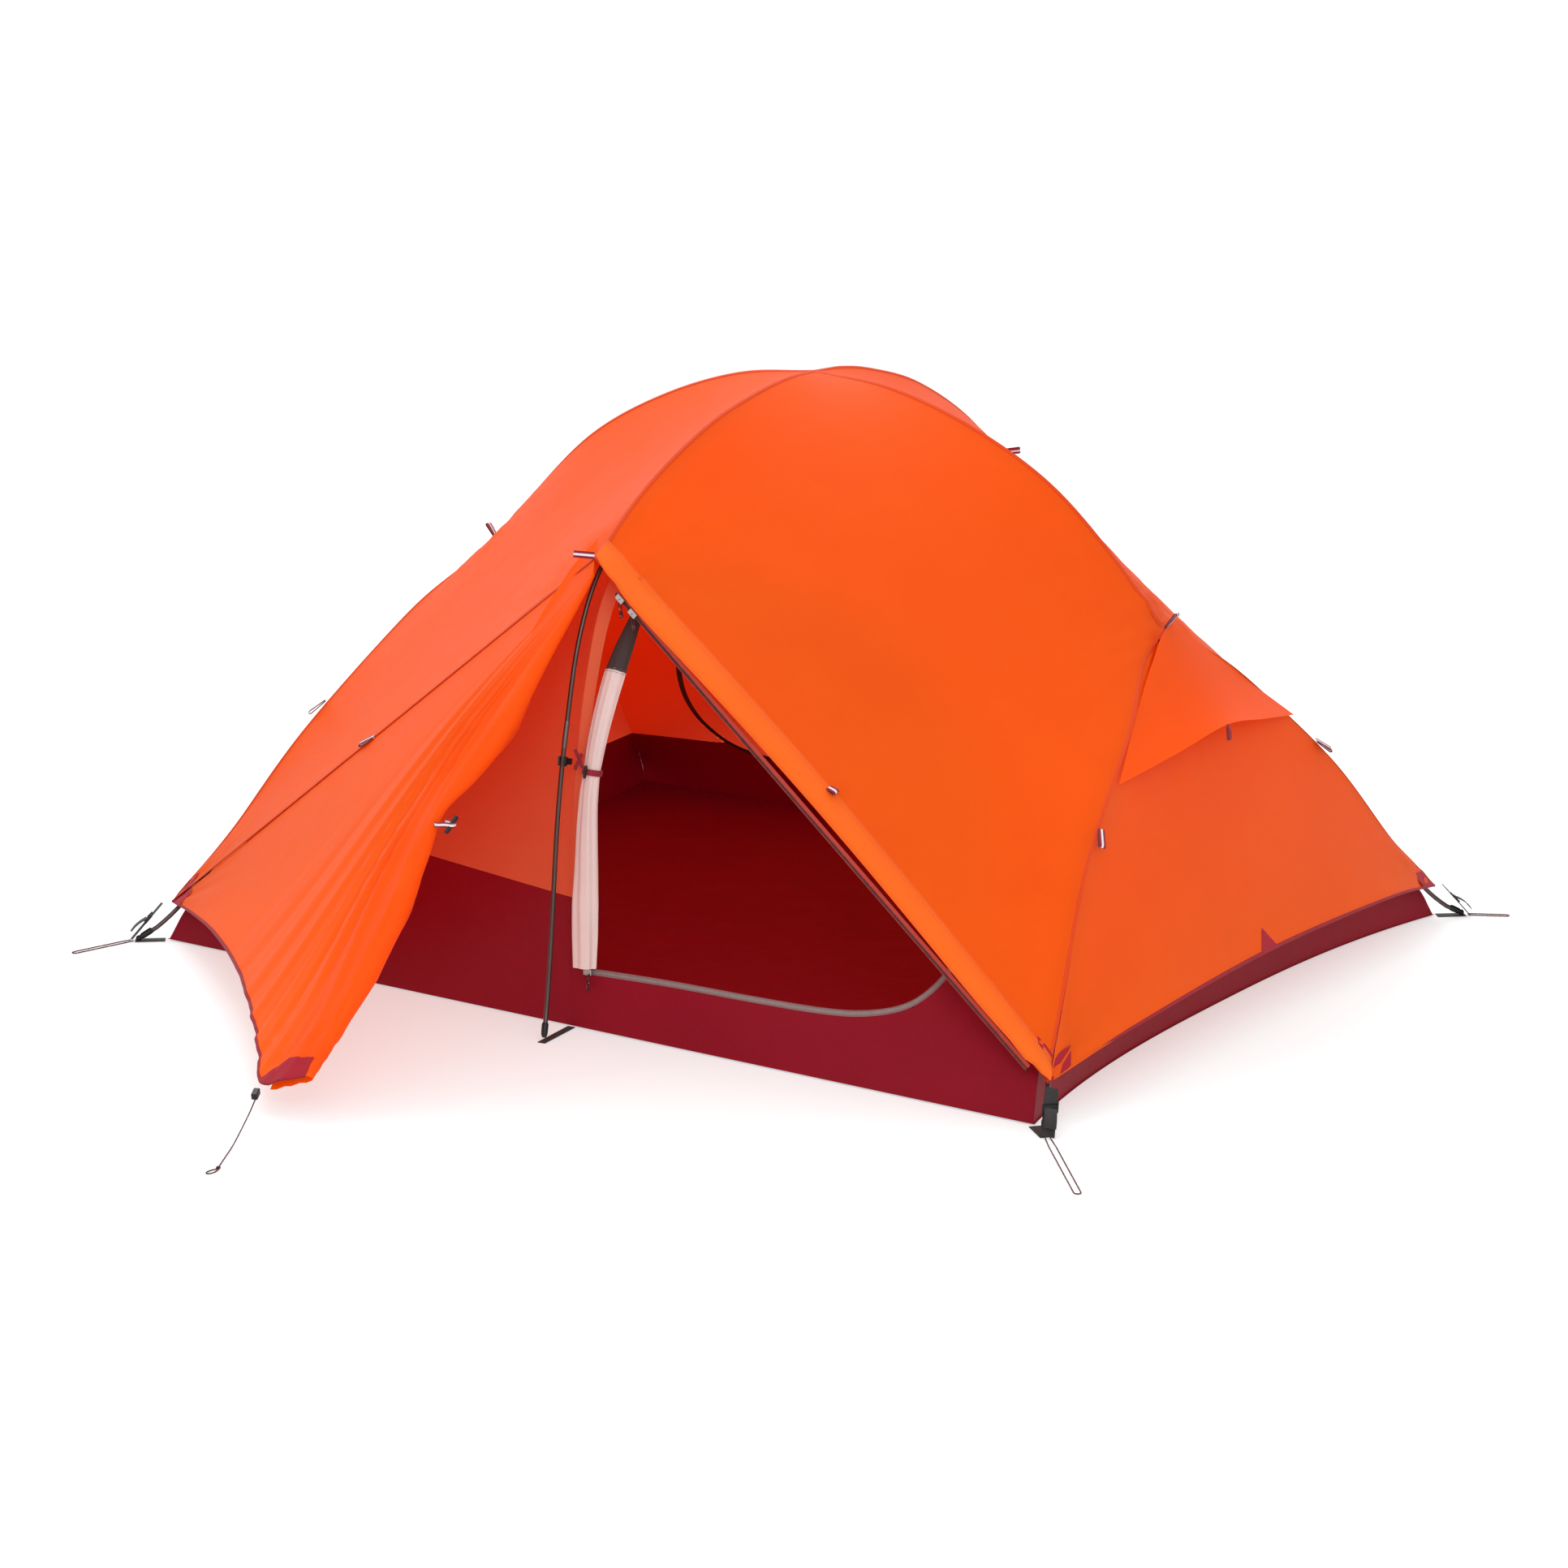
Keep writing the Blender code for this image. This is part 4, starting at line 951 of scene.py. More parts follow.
def rolled_door(start, end, rows):
    """The rolled cloth: a flattened spiral whose folds wander along its length."""
    steps = 64
    grid = np.zeros((steps + 1, rows + 1, 3))
    for j in range(rows + 1):
        t = start + (end - start) * j / rows
        place = t * (len(ROLL_RADII) - 1)
        low = min(int(place), len(ROLL_RADII) - 2)
        radius = ROLL_RADII[low] + (ROLL_RADII[low + 1] - ROLL_RADII[low]) * (place - low)
        centre = roll_line(t)
        axis = (roll_line(min(1, t + 0.01)) - roll_line(max(0, t - 0.01))).normalized()
        side = (Vector((1, 0, 0)) - axis * axis.x).normalized()
        front = axis.cross(side)
        for i in range(steps + 1):
            turn = 2 * math.pi * ROLL_TURNS * i / steps
            fold = 0.055 * math.sin(5 * turn + 3 * t) + 0.05 * math.sin(9 * turn + 7 * t + 1)
            fold += 0.08 * noise.noise((turn * 1.3, t * 5, 8.0))
            tie = math.exp(-(((t - TIE_AT) / 0.03) ** 2))
            spread = radius * (1 - 0.16 * i / steps) * (1 + fold * (1 - 0.6 * tie))
            aside, forward = spread * math.cos(turn), spread * 0.82 * math.sin(turn)
            grid[i, j] = centre + side * aside + front * forward
    return grid


for name, cloth, start, end, rows in (
    ("door_roll_pale", DOOR_CLOTH, 0.235, 1.0, 90),
    ("door_roll_mesh", INSECT_MESH, 0.0, 0.245, 30),
):
    grid = rolled_door(start, end, rows)
    roll = cloth_object(name, grid, cloth, centre=roll_line((start + end) / 2))
    replaced = ["inner_door_near"] if cloth is DOOR_CLOTH else []
    declare(roll, grid, "root", replaced, ["cross_pole"])


# ---- Seams and stitching -------------------------------------------------------------------
# The fly's panels meet in flat felled seams, each sewn with two rows. The door edge has a storm
# flap of doubled cloth and the lower edges are bound with dark-red tape.

SEAM_CLOTH = cloth_finish("seam_tape", (0.66, 0.055, 0.002), (0.7, 0.05, 0.003), 0.15, 0.5)
FLAP_CLOTH = cloth_finish("storm_flap", (1.0, 0.15, 0.01), (1.0, 0.13, 0.01), 0.3, 0.34)
BINDING = cloth_finish("edge_binding", (0.3, 0.008, 0.02), (0.3, 0.01, 0.02), 0.05, 0.5, 0.003)


def thread_finish(name, colour):
    finish = Finish(name)
    twist = finish.noise(finish.place(), 900.0, 2.0)
    shade = finish.tint(colour, (twist - 0.5) * 0.9)
    return finish.surface(shade, 0.6, finish.bump(twist, 0.0003), **{"Sheen Weight": 0.2})


FLY_THREAD = thread_finish("fly_thread", (0.62, 0.045, 0.01))
DARK_THREAD = thread_finish("dark_thread", (0.12, 0.006, 0.012))


def repeat_group(shape):
    """A node group that sets a small shape along a path, lying on the path's "up" side."""
    group = bpy.data.node_groups.new(f"row_of_{shape}", "GeometryNodeTree")
    face = group.interface
    face.new_socket("Path", in_out="INPUT", socket_type="NodeSocketGeometry")
    face.new_socket("Spacing", in_out="INPUT", socket_type="NodeSocketFloat")
    face.new_socket("Size", in_out="INPUT", socket_type="NodeSocketVector")
    face.new_socket("Finish", in_out="INPUT", socket_type="NodeSocketMaterial")
    face.new_socket("Row", in_out="OUTPUT", socket_type="NodeSocketGeometry")

    def add(kind, **settings):
        made = group.nodes.new(kind)
        for key, value in settings.items():
            setattr(made, key, value)
        return made

    start, end = add("NodeGroupInput"), add("NodeGroupOutput")
    curve = add("GeometryNodeMeshToCurve")
    even = add("GeometryNodeResampleCurve", mode="LENGTH")
    put = add("GeometryNodeInstanceOnPoints")
    along = add("FunctionNodeAlignRotationToVector", axis="X")
    upright = add("FunctionNodeAlignRotationToVector", axis="Z", pivot_axis="X")
    up = add("GeometryNodeInputNamedAttribute", data_type="FLOAT_VECTOR")
    up.inputs["Name"].default_value = "up"
    if shape == "bead":
        small = add("GeometryNodeMeshIcoSphere")
        small.inputs["Radius"].default_value = 0.5
        small.inputs["Subdivisions"].default_value = 1
    else:
        small = add("GeometryNodeMeshCube")
    vary = add("FunctionNodeRandomValue", data_type="FLOAT")
    vary.inputs[2].default_value = 0.88
    vary.inputs[3].default_value = 1.1
    vary.inputs["Seed"].default_value = 7
    scale = add("ShaderNodeVectorMath", operation="SCALE")
    real = add("GeometryNodeRealizeInstances")
    paint = add("GeometryNodeSetMaterial")
    for a, b in (
        (start.outputs["Path"], curve.inputs["Mesh"]),
        (curve.outputs["Curve"], even.inputs["Curve"]),
        (start.outputs["Spacing"], even.inputs["Length"]),
        (even.outputs["Curve"], put.inputs["Points"]),
        (small.outputs["Mesh"], put.inputs["Instance"]),
        (add("GeometryNodeInputTangent").outputs["Tangent"], along.inputs["Vector"]),
        (along.outputs["Rotation"], upright.inputs["Rotation"]),
        (up.outputs["Attribute"], upright.inputs["Vector"]),
        (upright.outputs["Rotation"], put.inputs["Rotation"]),
        (start.outputs["Size"], scale.inputs[0]),
        (vary.outputs[1], scale.inputs["Scale"]),
        (scale.outputs["Vector"], put.inputs["Scale"]),
        (put.outputs["Instances"], real.inputs["Geometry"]),
        (real.outputs["Geometry"], paint.inputs["Geometry"]),
        (start.outputs["Finish"], paint.inputs["Material"]),
        (paint.outputs["Geometry"], end.inputs["Row"]),
    ):
        group.links.new(a, b)
    return group


BEADS, BLOCKS = repeat_group("bead"), repeat_group("block")


def rows_along(name, lines, group, spacing, size, material, body, smooth=True):
    """One plain mesh of the group's shape set along each line of (points, normals)."""
    places, ups, edges = [], [], []
    for points, normals in lines:
        first = len(places)
        places += [tuple(p) for p in points]
        ups += [tuple(n) for n in normals]
        edges += [(first + k, first + k + 1) for k in range(len(points) - 1)]
    mesh = bpy.data.meshes.new(name + "_path")
    mesh.from_pydata(places, edges, [])
    attribute = mesh.attributes.new("up", "FLOAT_VECTOR", "POINT")
    attribute.data.foreach_set("vector", np.array(ups, np.float32).ravel())
    path = placed(name + "_path", mesh)
    modifier = path.modifiers.new("row", "NODES")
    modifier.node_group = group
    named = {s.name: s.identifier for s in group.interface.items_tree if s.in_out == "INPUT"}
    modifier[named["Spacing"]] = spacing
    modifier[named["Size"]] = size
    modifier[named["Finish"]] = material
    depsgraph = bpy.context.evaluated_depsgraph_get()
    made = bpy.data.meshes.new_from_object(path.evaluated_get(depsgraph))
    bpy.data.objects.remove(path)
    made.name = name
    if smooth:
        made.shade_smooth()
    obj = placed(name, made)
    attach(obj, body)
    return obj


def inset_line(grid, edge, distance, lift, centre=CENTRE):
    """Points this far in from one edge of a panel, lifted off its surface, and their normals."""
    normals = normals_of(grid, centre)
    lines, facing = grid, normals
    if edge in ("top", "bottom"):
        lines, facing = grid.transpose(1, 0, 2), normals.transpose(1, 0, 2)
    if edge in ("right", "bottom"):
        lines, facing = lines[::-1], facing[::-1]
    steps = np.linalg.norm(np.diff(lines, axis=0), axis=2)
    run = np.concatenate([np.zeros((1, lines.shape[1])), np.cumsum(steps, axis=0)])
    points, ups = [], []
    for k in range(lines.shape[1]):
        i = min(max(int(np.searchsorted(run[:, k], distance)), 1), lines.shape[0] - 1)
        share = (distance - run[i - 1, k]) / (run[i, k] - run[i - 1, k])
        share = min(1.0, max(0.0, share))
        normal = facing[i - 1, k] * (1 - share) + facing[i, k] * share
        normal /= np.linalg.norm(normal)
        points.append(lines[i - 1, k] * (1 - share) + lines[i, k] * share + normal * lift)
        ups.append(normal)
    return np.array(points), np.array(ups)


def inset_lines(grid, edge, steps, centre=CENTRE):
    """One line of points for each (distance in from the edge, lift off the cloth)."""
    return [inset_line(grid, edge, distance, lift, centre)[0] for distance, lift in steps]


def tape(name, lines, material, body, centre=CENTRE):
    """A strip of cloth through the lines of points."""
    obj = cloth_object(name, np.stack(lines), material, centre)
    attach(obj, body)
    return obj


STITCH_PITCH = 0.0048
seam_stitches = []
for name, one, other, edge in (
    ("ridge_right", "near_right", "far_right", "top"),
    ("ridge_left", "near_left", "far_left", "top"),
    ("arc_near", "near_right", "near_left", "left"),
    ("arc_far", "far_right", "far_left", "left"),
):
    a, b = fly_panels[one], fly_panels[other]
    lines = inset_lines(a, edge, ((0.0075, 0.0003), (0.006, 0.0013), (0, 0.0015)))
    lines += inset_lines(b, edge, ((0.006, 0.0013), (0.0075, 0.0003)))
    tape(f"seam_{name}", lines, SEAM_CLOTH, "fly")
    seam_stitches += [inset_line(grid, edge, 0.005, 0.0015) for grid in (a, b)]
for place, grid in fly_panels.items():
    lines = inset_lines(grid, "right", ((0.009, 0.0003), (0.0078, 0.0013), (0, 0.0017)))
    tape(f"seam_leg_{place}", lines, SEAM_CLOTH, "fly")
    seam_stitches += [inset_line(grid, "right", d, t) for d, t in ((0.0025, 0.0018), (0.0068, 0.0016))]
for place in ("near_left", "far_right"):
    grid = fly_panels[place]
    lines = inset_lines(grid, "bottom", ((0.012, 0.0003), (0.0105, 0.0013), (0, 0.0015)))
    tape(f"seam_vestibule_{place}", lines, SEAM_CLOTH, "fly")
    seam_stitches += [inset_line(grid, "bottom", d, 0.0016) for d in (0.003, 0.009)]

# The storm flap lies on the panel, stands up over the zip and ends in a turned-under lip. It
# narrows over its last four steps at each end.
FLAP_ON_CLOTH = (
    (0.056, 0.0002), (0.055, 0.0014), (0.045, 0.0018), (0.03, 0.0055), (0.015, 0.0105), (0, 0.0135),
)
FLAP_BEYOND = ((0.009, 0.0135), (0.017, 0.0115), (0.0175, 0.0102), (0.012, 0.0112))
to_end = np.minimum(np.arange(FLY_COLUMNS + 1), FLY_COLUMNS - np.arange(FLY_COLUMNS + 1))
flap_share = np.minimum(1, to_end / 4)[:, None]
for place in ("near_right", "far_left"):
    grid = fly_panels[place]
    edge, facing = inset_line(grid, "bottom", 0, 0)
    beyond = (edge - inset_line(grid, "bottom", 0.01, 0)[0]) * 100
    lines = inset_lines(grid, "bottom", FLAP_ON_CLOTH)
    lines += [edge + beyond * reach * flap_share + facing * lift for reach, lift in FLAP_BEYOND]
    tape(f"storm_flap_{place}", lines, FLAP_CLOTH, "fly")
    seam_stitches += [inset_line(grid, "bottom", d, t) for d, t in ((0.053, 0.0022), (0.0455, 0.0026))]
    seam_stitches.append((edge + beyond * 0.013 * flap_share + facing * 0.0134, facing))
rows_along("fly_stitches", seam_stitches, BEADS, STITCH_PITCH, (0.0037, 0.001, 0.0007), FLY_THREAD, "fly")

# Bound hems, with their stitching and a gusset patch in the middle of each end.
hem_stitches = []
for name, grid, centre in (
    ("end_right", mirrored(fly_end, 1, 1), CENTRE),
    ("end_left", mirrored(fly_end, -1, 1), CENTRE),
    ("vestibule_near", near_unrolled, VESTIBULE_CENTRE),
    ("vestibule_far", far_sheet, CENTRE),
):
    outer = inset_lines(grid, "bottom", ((0.0065, 0.0006), (0.005, 0.0015)), centre)
    under = inset_lines(grid, "bottom", ((0.005, -0.0015), (0.0065, -0.0006)), centre)
    edge, facing = inset_line(grid, "bottom", 0, 0, centre)
    lip = edge + (edge - inset_line(grid, "bottom", 0.01, 0, centre)[0]) * 0.12
    lines = [*outer, lip + facing * 0.0009, lip - facing * 0.0009, *under]
    tape(f"hem_{name}", lines, BINDING, "fly", centre)
    hem_stitches.append(inset_line(grid, "bottom", 0.0035, 0.0017, centre))
rows_along("hem_stitches", hem_stitches, BEADS, STITCH_PITCH, (0.0036, 0.001, 0.0007), DARK_THREAD, "fly")

PATCH_CLOTH = cloth_finish("corner_patch", (0.32, 0.008, 0.02), (0.2, 0.01, 0.02), 0.03, 0.55, 0.0045)


def patch_on(name, grid, u_range, v_range, centre=CENTRE, apex=0.55):
    """A reinforcement patch that lies on a panel: a corner of its grid, widest at the edge."""
    surface = lookup(grid + normals_of(grid, centre) * 0.0014)
    (u0, u1), (v0, v1) = u_range, v_range
    rows = []
    for j in range(9):
        v = v0 + (v1 - v0) * j / 8
        spread = apex + (1 - apex) * j / 8
        rows.append([surface(u1 + (u0 - u1) * spread * i / 8, v) for i in range(9)])
    return tape(name, rows, PATCH_CLOTH, "fly", centre)


for place, grid in fly_panels.items():
    patch_on(f"corner_patch_{place}", grid, (0.96, 1), (0.945, 1), apex=0.85)
for place, x in ENDS:
    grid = mirrored(fly_end, x, 1)
    for side, run in (("near", (0.042, 0.0)), ("far", (0.958, 1.0))):
        patch_on(f"end_patch_{place}_{side}", grid, run, (0.945, 1), apex=0.85)
    for side, run in (("a", (0.478, 0.5)), ("b", (0.522, 0.5))):
        patch_on(f"hem_patch_{place}_{side}", grid, run, (0.925, 1), apex=0.04)
patch_on("vestibule_patch_near", near_unrolled, (0.9, 1), (0.965, 1), VESTIBULE_CENTRE)
patch_on("vestibule_corner_near", near_unrolled, (0.045, 0.0), (0.955, 1), VESTIBULE_CENTRE)


# ---- Guy loops -----------------------------------------------------------------------------
# Folded loops of 14 mm dark-red webbing with a reflective stripe down the middle, sewn into
# the seams where guy cords can be tied.


def webbing_finish(name, colour, stripe, half_width):
    finish = Finish(name)
    flat = finish.place("UV")
    across, along = finish.part(flat, 0), finish.part(flat, 1)
    ribs = ((along / 0.0016).cycle() - 0.5).size() * 2
    weave = (across * 5200.0 + along * 3900.0).sine() * 0.5 + ribs
    shade = finish.tint(colour, (finish.noise(finish.place(), 160.0) - 0.5) * 0.9 + ribs * 0.2 - 0.1)
    if stripe:
        middle = (across.size() / half_width).over(0.3)
        shade = finish.mix(middle, (0.72, 0.68, 0.68), shade)
    worn = (across.size() / half_width).over(0.9) * 0.12
    return finish.surface(
        shade, worn + 0.62, finish.bump(weave, 0.0004, 0.7),
        **{"Sheen Weight": 0.1, "Specular IOR Level": 0.25},
    )


LOOP_WEBBING = webbing_finish("loop_webbing", (0.24, 0.005, 0.022), True, 0.007)
STRAP_WEBBING = webbing_finish("strap_webbing", (0.016, 0.013, 0.013), False, 0.0125)
RED_WEBBING = webbing_finish("red_webbing", (0.26, 0.008, 0.02), False, 0.0065)


def loft(name, rings, material, across=None):
    """A closed body through equal rings of points, with a UV map in metres."""
    count = len(rings[0])
    vertices = [tuple(p) for ring in rings for p in ring]
    along = [0.0]
    for a, b in zip(rings, rings[1:]):
        along.append(along[-1] + (Vector(b[0]) - Vector(a[0])).length)
    if across is None:
        size = (Vector(rings[len(rings) // 2][1]) - Vector(rings[len(rings) // 2][0])).length
        across = [k * size for k in range(count + 1)]
    faces, uvs = [], []
    for r in range(len(rings) - 1):
        for k in range(count):
            n = (k + 1) % count
            faces.append((r * count + k, r * count + n, (r + 1) * count + n, (r + 1) * count + k))
            near, far = across[k], across[(k + 1) % len(across)]
            uvs += [(near, along[r]), (far, along[r]), (far, along[r + 1]), (near, along[r + 1])]
    faces += [tuple(range(count)), tuple(range((len(rings) - 1) * count, len(rings) * count))]
    uvs += [(0.0, 0.0)] * (2 * count)
    mesh = bpy.data.meshes.new(name)
    mesh.from_pydata(vertices, [], faces)
    layer = mesh.uv_layers.new(name="UVMap")
    layer.data.foreach_set("uv", np.array(uvs, np.float32).ravel())
    bm = bmesh.new()
    bm.from_mesh(mesh)
    bmesh.ops.recalc_face_normals(bm, faces=bm.faces)
    bm.to_mesh(mesh)
    bm.free()
    mesh.shade_smooth()
    mesh.set_sharp_from_angle(angle=0.9)
    mesh.materials.append(material)
    return placed(name, mesh)


def ribbon(name, path, across, width, thickness, material, body, replaced=()):
    """A length of webbing along the path; across is its width direction, one or one per point."""
    half, t = width / 2, thickness / 2
    shape = (
        (-half, -0.4 * t), (-half + t, -t), (half - t, -t), (half, -0.4 * t),
        (half, 0.4 * t), (half - t, t), (-half + t, t), (-half, 0.4 * t),
    )
    rings = []
    for k, p in enumerate(path):
        ahead = Vector(path[min(k + 1, len(path) - 1)]) - Vector(path[max(k - 1, 0)])
        side = Vector(across[k] if isinstance(across, list) else across)
        side = (side - ahead * side.dot(ahead) / ahead.length_squared).normalized()
        up = ahead.normalized().cross(side)
        rings.append([Vector(p) + side * a + up * b for a, b in shape])
    return marked(loft(name, rings, material, [a for a, _ in shape]), body, replaced)


def guy_loop(name, base, out, across, length=0.042):
    """A strip folded in two: out along its top, round the end and back underneath."""
    base, out, across = Vector(base), Vector(out).normalized(), Vector(across)
    across = (across - out * across.dot(out)).normalized()
    up = out.cross(across)
    path = [base + out * (length * k / 6) + up * (0.0012 + 0.0022 * k / 6) for k in range(6)]
    middle = base + out * length * 5 / 6
    path += [
        middle + out * 0.0052 * math.sin(a) + up * 0.0032 * math.cos(a)
        for a in (0.5, 1.1, 1.57, 2.04, 2.64)
    ]
    path += [base + out * (length * k / 6) - up * (0.0012 + 0.0022 * k / 6) for k in range(5, -1, -1)]
    ribbon(name, path, across, 0.014, 0.0011, LOOP_WEBBING, "fly")


door_loop = DOOR_TOP + Vector((0.004, -0.006, 0.008))
guy_loop("guy_loop_door_near", door_loop, (-0.75, -0.62, 0.1), (0.1, 0.3, 0.95))
guy_loop("guy_loop_door_far", (-0.004, 0.778, 0.933), (0.75, 0.62, 0.1), (0.1, 0.3, -0.95))
for place, x, y in SIDES:
    base = flipped(fly_leg(0.5), x, y) + Vector((0.006 * x, -0.004 * y, 0))
    down = Vector((0.06 * x, -0.2 * y, -0.2))
    out = down + Vector((0.1 * x, -0.05 * y, 0))
    guy_loop(f"guy_loop_leg_{place}", base, out, np.cross(down, (0.75 * x, -0.55 * y, 0.35)), 0.048)
for place, x in ENDS:
    base = ((HUB.x + 0.003) * x, 0, HUB.z + 0.006)
    guy_loop(f"guy_loop_hub_{place}", base, (0.6 * x, 0, 0.75), (0, 1, 0))
for name, place, inset, lift, tilt, length in (
    ("guy_loop_seam_near", "near_left", 0.003, 0.002, 0.003, 0.042),
    ("guy_loop_flap", "near_right", 0.049, 0.0035, 0.01, 0.02),
):
    points, ups = inset_line(fly_panels[place], "bottom", inset, lift)
    ahead, up = points[31] - points[30], ups[30]
    guy_loop(name, points[30], ahead + up * tilt, np.cross(ahead, up), length)


# ---- Poles, hubs and tips ------------------------------------------------------------------
# Tubes of 9.5 mm aluminium anodised dark bronze, in sections joined by ferrules of a paler
# bronze, with a black socket at each hub and a black ball tip at the end of each leg.


def metal_finish(name, colour, roughness):
    finish = Finish(name)
    where = finish.place()
    streak = finish.noise(where, 60.0, 6.0) - 0.5
    scuff = finish.noise(where, 240.0, 2.0).over(0.66) * 0.16
    return finish.surface(
        finish.tint(colour, streak * 0.6 + scuff), scuff + roughness, finish.bump(streak, 0.0002),
        Metallic=0.85,
    )


def plastic_finish(name, colour, roughness=0.42):
    finish = Finish(name)
    where = finish.place()
    grain = finish.noise(where, 1400.0, 2.0)
    worn = finish.noise(where, 90.0, 4.0) - 0.5
    edge = finish.node("ShaderNodeLayerWeight", {}, {"Blend": 0.25}, 1)
    return finish.surface(
        finish.tint(colour, worn * 0.8), worn * 0.15 + edge * 0.1 + roughness, finish.bump(grain, 0.0003),
        **{"Specular IOR Level": 0.3},
    )


POLE_ALLOY = metal_finish("pole_alloy_bronze", (0.085, 0.06, 0.055), 0.34)
FERRULE = metal_finish("ferrule_alloy", (0.13, 0.105, 0.095), 0.3)
SLIDER_METAL = metal_finish("slider_metal", (0.42, 0.4, 0.39), 0.34)
BLACK_PLASTIC = plastic_finish("black_nylon", (0.006, 0.0055, 0.006))
POLE_RADIUS = 0.00475
LEG_POLE = [
    (0.841, -0.03, 0.72),
    (0.853, -0.125, 0.688),
    (0.904, -0.262, 0.592),
    (0.96, -0.514, 0.396),
    (1.017, -0.694, 0.2),
    (1.058, -0.8, 0.085),
    (1.086, -0.862, 0.03),
    (1.107, -0.9, 0.0085),
]
CROSS_POLE = [
    (0.018, -0.97, 0.0085),
    (0.01, -0.952, 0.05),
    (0.004, -0.932, 0.14),
    (0, -0.912, 0.285),
    (0, -0.895, 0.445),
    (0, -0.868, 0.6),
    (0, -0.822, 0.78),
    (0, -0.745, 0.912),
    (0, -0.594, 1.028),
    (0, -0.39, 1.122),
    (0, -0.21, 1.168),
    (0, -0.1, 1.187),
    (0, 0, 1.1932),
]
RIDGE_HALF = [
    (0, 0, 1.183),
    (0.19, 0, 1.164),
    (0.383, 0, 1.102),
    (0.57, 0, 0.999),
    (0.738, 0, 0.847),
    (0.806, 0, 0.77),
]


def tube(name, curve, count, profile, material, body, replaced=(), span=(0.0, 1.0), sides=16):
    """A round body along part of a curve; the profile gives its radius at shares of the run."""
    start, end = span
    rings = []
    side = None
    for k in range(count):
        t = k / (count - 1)
        place = start + (end - start) * t
        ahead = (curve(min(1, place + 0.004)) - curve(max(0, place - 0.004))).normalized()
        if side is None:
            side = ahead.orthogonal().normalized()
        side = (side - ahead * side.dot(ahead)).normalized()
        up = ahead.cross(side)
        radius = float(np.interp(t, [p[0] for p in profile], [p[1] for p in profile]))
        angles = [2 * math.pi * s / sides for s in range(sides)]
        rings.append([curve(place) + (side * math.cos(a) + up * math.sin(a)) * radius for a in angles])
    return marked(loft(name, rings, material), body, replaced)


def mirror_curve(points, x, y):
    return curve_through([(px * x, py * y, pz) for px, py, pz in points])


ridge_curve = curve_through([(-x, y, z) for x, y, z in RIDGE_HALF[:0:-1]] + RIDGE_HALF)
cross_curve = curve_through(CROSS_POLE + [(-x, -y, z) for x, y, z in CROSS_POLE[-2::-1]])
FERRULE_RIM = [
    (0, POLE_RADIUS + 0.0002),
    (0.08, POLE_RADIUS + 0.0006),
    (0.92, POLE_RADIUS + 0.0006),
    (1, POLE_RADIUS + 0.0002),
]
# Each pole: its curve, its rings, where its ferrules are and half a ferrule, as shares of its run.
poles = [
    ("ridge_pole", ridge_curve, 80, (0.25, 0.5, 0.75), 0.016),
    ("cross_pole", cross_curve, 150, (0.17, 0.335, 0.5, 0.665, 0.83), 0.0075),
]
for place, x, y in SIDES:
    poles.append((f"leg_pole_{place}", mirror_curve(LEG_POLE, x, y), 60, (0.36, 0.74), 0.016))
for name, curve, count, joins, half in poles:
    round_pole = [(0, POLE_RADIUS)]
    tube(f"{name}_tube", curve, count, round_pole, POLE_ALLOY, "root", [name])
    for k, share in enumerate(joins):
        span = (share - half, share + half)
        tube(f"{name}_ferrule_{k}", curve, 12, FERRULE_RIM, FERRULE, "root", span=span)


def blob(name, centre, radius, material, body, squeeze=(1, 1, 1)):
    """A round lump: a pole tip or a cord's knot."""
    mesh = bpy.data.meshes.new(name)
    bm = bmesh.new()
    bmesh.ops.create_uvsphere(bm, u_segments=20, v_segments=14, radius=radius)
    for v in bm.verts:
        v.co = Vector(centre) + Vector((v.co.x * squeeze[0], v.co.y * squeeze[1], v.co.z * squeeze[2]))
    bm.to_mesh(mesh)
    bm.free()
    mesh.shade_smooth()
    mesh.materials.append(material)
    return marked(placed(name, mesh), body)


TIP_PROFILE = [(0, 0.0058), (0.1, 0.0068), (0.75, 0.0066), (0.9, 0.0052), (1, 0.003)]
for place, x, y in SIDES:
    tip = flipped(LEG_POLE[-1], x, y)
    tail = (tip - flipped(LEG_POLE[-2], x, y)).normalized()
    end = curve_through([tip - tail * 0.028, tip - tail * 0.012, tip + tail * 0.002])
    tube(f"pole_tip_{place}", end, 14, TIP_PROFILE, BLACK_PLASTIC, "root")
    blob(f"pole_ball_{place}", tip + tail * 0.005, 0.0062, BLACK_PLASTIC, "root")
for place, sign in (("near", 1), ("far", -1)):
    foot = flipped(CROSS_POLE[0], sign, sign)
    up = (flipped(CROSS_POLE[1], sign, sign) - foot).normalized()
    end = curve_through([foot + up * 0.028, foot + up * 0.014, foot - up * 0.001])
    tube(f"cross_tip_{place}", end, 14, TIP_PROFILE, BLACK_PLASTIC, "root")

for name, node in nodes.items():
    if name.startswith(("hub_", "pole_clip_", "fly_slider_", "inner_slider_", "door_toggle", "cord_lock")):
        node.data.materials.clear()
        node.data.materials.append(SLIDER_METAL if "slider" in name else BLACK_PLASTIC)
        bevel = node.modifiers.new("rounded", "BEVEL")
        bevel.width = 0.0008
        bevel.segments = 2
        bevel.limit_method = "ANGLE"


# ---- Corner straps and buckles -------------------------------------------------------------
# Black 25 mm webbing from each floor corner and each fly corner out to the pole's tip, and 17.5 mm
# webbing out to the cross pole's feet. The fly's straps run through a black ladder-lock buckle and
# leave a short loose tail.

WEBBING = 0.0016
STRAP_WIDTH = 0.025


